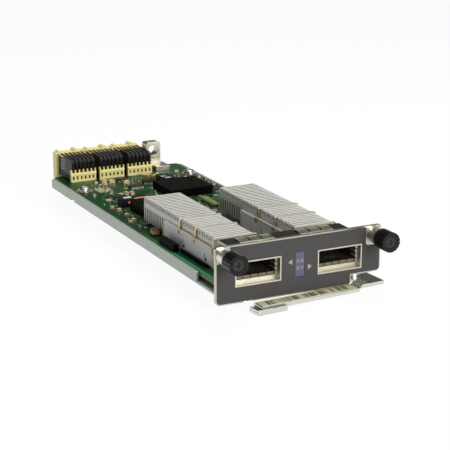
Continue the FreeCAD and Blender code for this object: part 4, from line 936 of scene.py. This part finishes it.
def inductor_finish():
    """Inductors: a dark core with a copper band, and a flat moulded one; the band has painted shade between
    its turns and painted highlight on their crests.
    """
    finish = Finish("inductor_core")
    _, y, z = finish.place()
    grain = finish.grain(5.0, 3.0)
    near = finish.band(y, 67.0, 73.0) * finish.band(z, 8.7, 10.2)
    turns = finish.band((z * 4.0).work("FRACT"), 0.15, 0.85, 0.2)
    core = finish.mix((0.03, 0.028, 0.027), (0.06, 0.055, 0.05), grain)
    # Painted shade between the wire turns and painted highlight on their crests.
    copper = finish.mix((0.4, 0.11, 0.04), (0.85, 0.34, 0.12), turns)
    flat = finish.band(y, 90.0, 115.0)
    return finish.done(
        color=finish.mix(finish.mix(core, copper, near), (0.24, 0.27, 0.08), flat * (0.6 + grain * 0.4)),
        metal=near * 0.8,
        rough=0.4 + grain * 0.15,
        relief=grain * 0.3 + turns * near, depth=0.05,
    )


# Sizes and colours

def color_value(name, description, default):
    return bpy.props.FloatVectorProperty(
        name=name, description=description, default=default, size=3, min=0.0, max=1.0, subtype="COLOR",
    )


def length_value(name, description, default):
    return bpy.props.FloatProperty(
        name=name, description=description, default=default, min=0.0, unit="LENGTH",
    )


class CardColors(bpy.types.PropertyGroup):
    """Colours of the card's finishes."""
    print_dark: color_value("Print, dark", "Darker tone of the faceplate's print", (0.035, 0.034, 0.033))
    print_light: color_value("Print, light", "Lighter tone of the faceplate's print", (0.049, 0.046, 0.045))
    cage_dark: color_value("Cage, dark", "Darker tone of the cages", (0.5, 0.49, 0.5))
    cage_light: color_value("Cage, light", "Lighter tone of the cages", (0.6, 0.585, 0.6))
    board_dark: color_value("Board, dark", "Solder mask away from tracks", (0.001, 0.026, 0.009))
    board_light: color_value("Board, light", "Solder mask over tracks", (0.003, 0.085, 0.028))
    # Painted shade between the heat sink's fins and painted light on their tops.
    sink_shaded: color_value("Heat sink, sides", "Faces between the fins", (0.15, 0.15, 0.135))
    sink_lit: color_value("Heat sink, tops", "Tops of the fins", (0.86, 0.85, 0.78))
    window_dark: color_value("Window, dark", "Darker tone of the window", (0.08, 0.07, 0.13))
    window_light: color_value("Window, light", "Lighter tone of the window", (0.1, 0.088, 0.155))


class CardSizes(bpy.types.PropertyGroup):
    """Small sizes that the dressing adds."""
    sheet_ease: length_value("Sheet edge", "Chamfer on the edges of bent sheet", 0.00006)
    block_ease: length_value("Block edge", "Chamfer on the edges of solid pieces", 0.00012)
    moulding_ease: length_value("Moulding edge", "Chamfer on the edges of mouldings", 0.0001)
    recess_reach: length_value("Recess reach", "Half the width of a screw's cross recess", 0.00145)
    recess_depth: length_value("Recess depth", "Depth of a screw's cross recess", 0.0009)
    lead_width: length_value("Lead width", "Width of a chip's lead", 0.0004)
    lead_reach: length_value("Lead reach", "How far a chip's lead stands out", 0.0009)


class StudioValues(bpy.types.PropertyGroup):
    """Camera and lamps."""
    lens: bpy.props.FloatProperty(
        name="Lens", description="Focal length of the camera", default=120.375, unit="CAMERA",
    )
    lamp: bpy.props.FloatProperty(
        name="Lamp", description="Power of the large lamp overhead", default=3.0, min=0.0,
    )
    fill: bpy.props.FloatProperty(
        name="Fill", description="Level of light from all round", default=0.35, min=0.0,
    )


def ask(name):
    return getattr(bpy.context.scene, name)


# Operators

class CARD_OT_metalwork(bpy.types.Operator):
    """Finish the faceplate, tray, guide block and gasket fingers"""
    bl_idname = "card.metalwork"
    bl_label = "Metalwork"

    def execute(self, context):
        colors, sizes = ask("card_colors"), ask("card_sizes")
        sheet = sizes.sheet_ease / MM
        block = sizes.block_ease / MM
        ease_node("faceplate", faceplate_finish(colors), sheet)
        ease_node("tray", sheet_finish(
            "zinc_plate", (0.36, 0.41, 0.36), (0.46, 0.51, 0.45), 0.4, metallic=0.45, stretch=(1, 0.12, 1),
        ), sheet)
        steel = sheet_finish("turned_steel", (0.45, 0.45, 0.44), (0.62, 0.62, 0.6), 0.3)
        finish_node("board_standoffs", steel)
        finish_node("lever_stud", steel)
        cast = sheet_finish("guide_cast", (0.56, 0.53, 0.43), (0.7, 0.66, 0.54), 0.22, relief=0.003)
        ease_node("guide_block", cast, block)
        strip = sheet_finish(
            "strip_metal", (0.4, 0.39, 0.3), (0.6, 0.58, 0.45), 0.2, stretch=(0.1, 1, 1), relief=0.002,
        )
        ease_node("gasket_fingers_left", strip, 0)
        ease_node("gasket_fingers_right", strip, 0)
        ease_node("indicator_lens", window_finish(colors), block / 2)
        return {"FINISHED"}


class CARD_OT_ports(bpy.types.Operator):
    """Finish the port linings, cages and the connectors inside them"""
    bl_idname = "card.ports"
    bl_label = "Ports"

    def execute(self, context):
        colors, sizes = ask("card_colors"), ask("card_sizes")
        sheet = sizes.sheet_ease / MM
        lining = lining_finish()
        cage = cage_finish(colors)
        socket = moulded_finish(
            "socket_black", (0.006, 0.006, 0.006), (0.014, 0.013, 0.012), 0.5, specular_ior_level=0.2,
        )
        gold = contact_finish()
        blades = blade_tree()
        pitch, back, blade = 0.8, 48.5, (0.4 * MM, 5.0 * MM, 0.15 * MM)
        for side, middle in PORTS:
            ease_node(f"port_frame_{side}", lining, sheet * 0.5)
            ease_node(f"transceiver_cage_{side}", cage, sheet)
            ease_node(f"host_connector_{side}", socket, sizes.moulding_ease / MM)
            spots = [
                ((middle - 5.1 + pitch * column, back, level), 0, blade, 0.5)
                for column in range(13) for level in (10.51, 11.21)
            ]
            grow_piece(f"socket_contacts_{side}", blades, spots, gold, "board_screws", tip=0.1)
        return {"FINISHED"}


class CARD_OT_board(bpy.types.Operator):
    """Finish the board and set the parts on it"""
    bl_idname = "card.board"
    bl_label = "Circuit board"

    def execute(self, context):
        colors, sizes = ask("card_colors"), ask("card_sizes")
        case = moulded_finish(
            "module_case", (0.001, 0.001, 0.001), (0.003, 0.003, 0.0025), 0.45, specular_ior_level=0.04,
        )
        chip = moulded_finish(
            "chip_case", (0.014, 0.013, 0.013), (0.035, 0.032, 0.03), 0.4, specular_ior_level=0.3,
        )
        ease_node("circuit_board", board_finish(colors), 0.05)
        for node in ("power_module", "output_module"):
            self.ribbed_module(node, case)
        for node, finish, width in (
            ("signal_relay", relay_finish(), 0.15),
            ("board_header", case, 0.12),
            ("board_chips", chip, 0.1),
            ("board_inductors", inductor_finish(), 0.5),
        ):
            ease_node(node, finish, width)
        self.two_ended_parts()
        self.leads(sizes)
        self.pan_heads(sizes)
        return {"FINISHED"}

    def ribbed_module(self, node, finish):
        """Potted module: a plinth with grooves along its top and chamfered ribs."""
        (x0, y0, z0), (x1, y1, z1) = boxes_of(node)[0]
        depth, gap = 0.35, 0.12
        count = round((x1 - x0) / 1.5)
        pitch = (x1 - x0) / count
        boxes = [((x0, y0, z0), (x1, y1, z1 - depth))]
        for index in range(count):
            start = x0 + index * pitch
            left = start + (gap if index else 0)
            right = start + pitch - (gap if index < count - 1 else 0)
            boxes.append(((left, y0, z1 - depth), (right, y1, z1)))
        mesh = eased_mesh(f"{node}_ribbed", joined_blocks(node, boxes), 0.06)
        place_piece(f"{node}_ribbed", mesh, finish, "card", [node])

    def two_ended_parts(self):
        """Capacitors in their own places and small parts scattered over the free board."""
        finish = small_part_finish()
        tree = chip_part_tree()
        spots = []
        for low, high in boxes_of("board_capacitors"):
            wide, deep, tall = (high[i] - low[i] for i in range(3))
            middle = ((low[0] + high[0]) / 2, (low[1] + high[1]) / 2, low[2])
            tone = 0.62 if middle[0] > 6 else 0.75
            if deep > wide:
                spots.append((middle, 90, (deep * MM, wide * MM, tall * MM), tone))
            else:
                spots.append((middle, 0, (wide * MM, deep * MM, tall * MM), tone))
        like = "board_capacitors"
        grow_piece("board_capacitors_capped", tree, spots, finish, like, [like], cap=0.2)
        grow_piece("small_board_parts", tree, self.scattered(), finish, like)

    def scattered(self):
        """Places, turns, sizes and tones of small parts that keep clear of all others."""
        taken = [box for node in (
            "power_module", "output_module", "signal_relay", "board_header", "board_chips",
            "board_capacitors", "board_inductors", "board_screws", "guide_block",
            "transceiver_cage_left", "transceiver_cage_right",
            "wafer_organizer_left", "wafer_organizer_middle", "wafer_organizer_right",
        ) for box in boxes_of(node)]
        chance = random.Random(7)
        room = 0.3
        regions = (
            ((-30.5, -25.5, 78.0, 142.0), 20),
            ((-24.0, 28.5, 88.0, 163.5), 160),
            ((-6.5, 6.5, 8.0, 88.0), 60),
            ((28.6, 30.6, 10.0, 150.0), 22),
        )
        spots = []
        for (x0, x1, y0, y1), count in regions:
            for _ in range(count):
                sideways = chance.random() < 0.5
                long, wide, tall = chance.choice(PART_SIZES)
                x = round(chance.uniform(x0, x1) * 2) / 2
                y = round(chance.uniform(y0, y1) * 2) / 2
                half_x, half_y = (wide / 2, long / 2) if sideways else (long / 2, wide / 2)
                clear = all(
                    x + half_x + room < low[0] or x - half_x - room > high[0]
                    or y + half_y + room < low[1] or y - half_y - room > high[1]
                    for low, high in taken
                )
                if clear:
                    taken.append(((x - half_x, y - half_y), (x + half_x, y + half_y)))
                    size = (long * MM, wide * MM, tall * MM)
                    tone = chance.choice(PART_TONES)
                    spots.append(((x, y, BOARD_TOP), 90 if sideways else 0, size, tone))
        return spots

    def row_of_leads(self, low, high, margin):
        """Even places between two corners of a chip."""
        count = int((high - low - margin) / LEAD_PITCH) + 1
        middle = (low + high) / 2
        return [middle + (index - (count - 1) / 2) * LEAD_PITCH for index in range(count)]

    def leads(self, sizes):
        """Rows of bent leads along the chips' sides; only a large chip has them on all four."""
        feet = []
        for low, high in boxes_of("board_chips"):
            for x in self.row_of_leads(low[0], high[0], 0.6):
                feet += [(x, low[1], -90), (x, high[1], 90)]
            if high[1] - low[1] > 4:
                for y in self.row_of_leads(low[1], high[1], 1.0):
                    feet += [(low[0], y, 180), (high[0], y, 0)]
        spots = [((x, y, BOARD_TOP), turn, (1, 1, 1), 0) for x, y, turn in feet]
        grow_piece(
            "chip_leads", lead_tree(), spots, small_part_finish(), "board_screws",
            width=sizes.lead_width, reach=sizes.lead_reach,
        )

    def pan_heads(self, sizes):
        """Screws with rounded heads and cross recesses."""
        head = [(0.0, 9.9), (0.9, 9.88), (1.6, 9.72), (2.15, 9.42), (2.55, 9.0), (2.7, 8.5), (2.7, 8.0)]
        shank = [(1.2, 8.0), (1.2, 4.6), (0.0, 4.6)]
        name = "board_screws_turned"
        mesh = joined(name, [turned(head + shank, screw, 36) for screw in BOARD_SCREWS])
        cutters = [cross_cutter((*screw, BOARD_SCREW_TOP), (0, 0, 1), sizes) for screw in BOARD_SCREWS]
        nickel = sheet_finish("screw_nickel", (0.4, 0.4, 0.39), (0.55, 0.55, 0.53), 0.24, relief=0.002)
        mesh = eased_mesh(name, mesh, 0.05, cutters)
        place_piece(name, mesh, nickel, "card", ["board_screws"])


class CARD_OT_heat_sinks(bpy.types.Operator):
    """Finish the heat sinks and their clips"""
    bl_idname = "card.heat_sinks"
    bl_label = "Heat sinks"

    def execute(self, context):
        colors, sizes = ask("card_colors"), ask("card_sizes")
        metal = sink_finish(colors)
        clip = clip_finish()
        for side, _ in PORTS:
            ease_node(f"heat_sink_{side}", metal, sizes.moulding_ease / MM)
            ease_node(f"heat_sink_clip_{side}", clip, sizes.sheet_ease / MM)
        return {"FINISHED"}


class CARD_OT_connectors(bpy.types.Operator):
    """Finish the rear connectors and set their contacts"""
    bl_idname = "card.connectors"
    bl_label = "Rear connectors"

    def execute(self, context):
        cream = moulded_finish("connector_cream", (0.7, 0.61, 0.24), (0.82, 0.73, 0.33), 0.42)
        wafer = wafer_finish()
        ease = ask("card_sizes").moulding_ease / MM
        gold = contact_finish()
        blades = blade_tree()
        pitch, rise, back, blade = 2.0, 1.36, 186.2, (0.3 * MM, 2.8 * MM, 0.6 * MM)
        for place, middle in CONNECTORS:
            ease_node(f"wafer_organizer_{place}", cream, ease * 0.8)
            ease_node(f"contact_wafers_{place}", wafer, ease)
            ease_node(f"mating_housing_{place}", cream, ease)
            spots = [
                ((middle - 5.0 + pitch * column, back, 8.2 + rise * row), 0, blade, 0.5)
                for column in range(6) for row in range(7)
            ]
            grow_piece(f"mating_contacts_{place}", blades, spots, gold, "board_screws")
        return {"FINISHED"}


class CARD_OT_thumbscrews(bpy.types.Operator):
    """Finish the captive thumbscrews and cut their cross recesses"""
    bl_idname = "card.thumbscrews"
    bl_label = "Thumbscrews"

    def execute(self, context):
        sizes = ask("card_sizes")
        knob = moulded_finish(
            "knob_moulding", (0.003, 0.003, 0.003), (0.007, 0.0068, 0.0064), 0.2, 0.006, 4.0,
            specular_ior_level=0.24,
        )
        head = sheet_finish(
            "screw_dark", (0.03, 0.03, 0.028), (0.06, 0.058, 0.054), 0.22, metallic=0.9, relief=0.002,
        )
        bright = sheet_finish(
            "ferrule_nickel", (0.6, 0.58, 0.5), (0.78, 0.76, 0.67), 0.22, stretch=(1, 0.2, 1), relief=0.002,
        )
        spring = sheet_finish("spring_wire", (0.4, 0.4, 0.4), (0.6, 0.6, 0.6), 0.3)
        for side, x in THUMBSCREWS:
            ease_node(f"screw_knob_{side}", knob, 0.16)
            cutter = cross_cutter((x, *THUMBSCREW_FRONT), (0, -1, 0), sizes)
            ease_node(f"captive_screw_{side}", head, 0.1, [cutter])
            ease_node(f"screw_ferrule_{side}", bright, 0.12)
            ease_node(f"thrust_washer_{side}", spring, 0)
            coil = ease_node(f"screw_spring_{side}", spring, 0)
            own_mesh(coil)
        return {"FINISHED"}


class CARD_OT_lever(bpy.types.Operator):
    """Finish the ejector lever and its label"""
    bl_idname = "card.lever"
    bl_label = "Ejector lever"

    def execute(self, context):
        nickel = sheet_finish(
            "lever_nickel", (0.55, 0.55, 0.51), (0.76, 0.75, 0.7), 0.1, stretch=(0.15, 1, 1), relief=0.001,
        )
        ease_node("ejector_lever", nickel, ask("card_sizes").block_ease / MM)
        self.end_lip(nickel)
        ease_node("lever_label", label_finish(), 0)
        return {"FINISHED"}

    def end_lip(self, finish):
        """Turned-down end of the finger tip, which meets the lip along its front."""
        outline = [
            (-51.9, -6.5), (-51.9, -11.7), (-51.55, -12.55), (-50.7, -12.9),
            (-50.7, -12.1), (-51.1, -11.7), (-51.1, -6.5),
        ]
        spin = Matrix.Rotation(math.radians(LEVER_LEAN), 2)
        spots = [spin @ Vector(corner) + Vector(LEVER_PIVOT) for corner in outline]
        verts = [(*spot, level) for level in (-3.2, -1.95) for spot in spots]
        name = "lever_end_lip"
        mesh = eased_mesh(name, mesh_from(name, verts, prism_faces(len(outline))), 0.06)
        place_piece(name, mesh, finish, BODY_OF["ejector_lever"])


class CARD_OT_studio(bpy.types.Operator):
    """Set the floor, the lamps and the camera"""
    bl_idname = "card.studio"
    bl_label = "Studio"

    def execute(self, context):
        values = ask("studio_values")
        self.floor()
        self.sky(values)
        for name, place, aim, power, size in (
            ("overhead", (0.15, 0.15, 0.6), (0.0, 0.08, 0.0), values.lamp, 0.5),
            ("front", (0.1, -0.75, 0.3), (0.0, 0.0, 0.01), values.lamp * 2.0, 0.4),
        ):
            lamp = bpy.data.lights.new(name, "AREA")
            lamp.energy = power
            lamp.size = size
            self.stand(name, lamp, Vector(place), Vector(aim) - Vector(place))
        data = bpy.data.cameras.new("camera")
        data.lens = values.lens
        data.sensor_width = 36.0
        data.clip_start = 0.01
        bpy.context.scene.camera = self.stand("camera", data, Vector(CAMERA_PLACE) * MM, Vector(CAMERA_AIM))
        bpy.context.scene.view_settings.view_transform = "Standard"
        return {"FINISHED"}

    def stand(self, name, data, place, forward):
        """Lamp or camera in its place, turned to look forward."""
        stood = holder_of(name, data)
        stood.location = place
        stood.rotation_euler = forward.to_track_quat("-Z", "Y").to_euler()
        return stood

    def seen(self, graph):
        """One for rays of the camera, of reflections and through glass."""
        path = graph.node("ShaderNodeLightPath").outputs
        seen = Field(graph, path["Is Camera Ray"]) + Field(graph, path["Is Glossy Ray"])
        return (seen + Field(graph, path["Is Transmission Ray"])).held()

    def floor(self):
        """Wide pale disc just under the card, which shines a little for the camera."""
        level = CAD_BOX[0][2] / MM - 0.05
        reach, steps = 4000, 48
        angles = [math.tau * i / steps for i in range(steps)]
        ring = [(reach * math.cos(angle), reach * math.sin(angle), level) for angle in angles]
        floor = holder_of("floor", mesh_from("floor", ring, [tuple(range(steps))]))
        finish = Finish("floor_paper", roughness=0.9)
        paper = finish.mix((0.86, 0.86, 0.86), (0.9, 0.9, 0.9), finish.grain(0.02, 2.0))
        finish.feed(finish.shader.inputs["Base Color"], paper)
        glow = finish.node("ShaderNodeEmission", inputs={"Color": (1.0, 1.0, 1.0), "Strength": 1.0})
        mixed = finish.node("ShaderNodeMixShader", inputs={
            0: self.seen(finish) * 0.93, 1: finish.shader.outputs[0], 2: glow.outputs[0],
        })
        finish.feed(finish.output.inputs[0], mixed.outputs[0])
        floor.data.materials.append(finish.material)

    def sky(self, values):
        """Even light from all round; the camera and reflections see it bright near the horizon."""
        world = bpy.data.worlds.new("studio_light")
        world.use_nodes = True
        graph = Graph(world.node_tree)
        graph.tree.nodes.clear()
        height = graph.split(graph.node("ShaderNodeTexCoord").outputs["Generated"])[2]
        horizon, spread, dimming = 0.13, 0.1, 0.93
        sweep = 1 - ((height - horizon) / spread).held() * dimming
        strength = self.seen(graph) * (sweep - values.fill) + values.fill
        light = graph.node("ShaderNodeBackground", inputs={"Color": (1.0, 1.0, 1.0), "Strength": strength})
        out = graph.node("ShaderNodeOutputWorld")
        graph.feed(out.inputs[0], light.outputs[0])
        bpy.context.scene.world = world


OPERATORS = (
    CARD_OT_metalwork,
    CARD_OT_ports,
    CARD_OT_board,
    CARD_OT_heat_sinks,
    CARD_OT_connectors,
    CARD_OT_thumbscrews,
    CARD_OT_lever,
    CARD_OT_studio,
)


class CARD_PT_panel(bpy.types.Panel):
    """Steps that dress the line card"""
    bl_idname = "CARD_PT_panel"
    bl_label = "Line card"
    bl_space_type = "VIEW_3D"
    bl_region_type = "UI"
    bl_category = "Line card"

    def draw(self, context):
        for operator in OPERATORS:
            self.layout.operator(operator.bl_idname)
        for name in ("card_colors", "card_sizes", "studio_values"):
            group = getattr(context.scene, name)
            for prop in group.__annotations__:
                self.layout.prop(group, prop)


GROUPS = (("card_colors", CardColors), ("card_sizes", CardSizes), ("studio_values", StudioValues))


def register():
    for name, group in GROUPS:
        bpy.utils.register_class(group)
        setattr(bpy.types.Scene, name, bpy.props.PointerProperty(type=group))
    for operator in OPERATORS:
        bpy.utils.register_class(operator)
    bpy.utils.register_class(CARD_PT_panel)


def unregister():
    bpy.utils.unregister_class(CARD_PT_panel)
    for operator in reversed(OPERATORS):
        bpy.utils.unregister_class(operator)
    for name, group in GROUPS:
        delattr(bpy.types.Scene, name)
        bpy.utils.unregister_class(group)


def main():
    register()
    bpy.ops.card.metalwork()
    bpy.ops.card.ports()
    bpy.ops.card.board()
    bpy.ops.card.heat_sinks()
    bpy.ops.card.connectors()
    bpy.ops.card.thumbscrews()
    bpy.ops.card.lever()
    bpy.ops.card.studio()


if __name__ == "__main__":
    main()
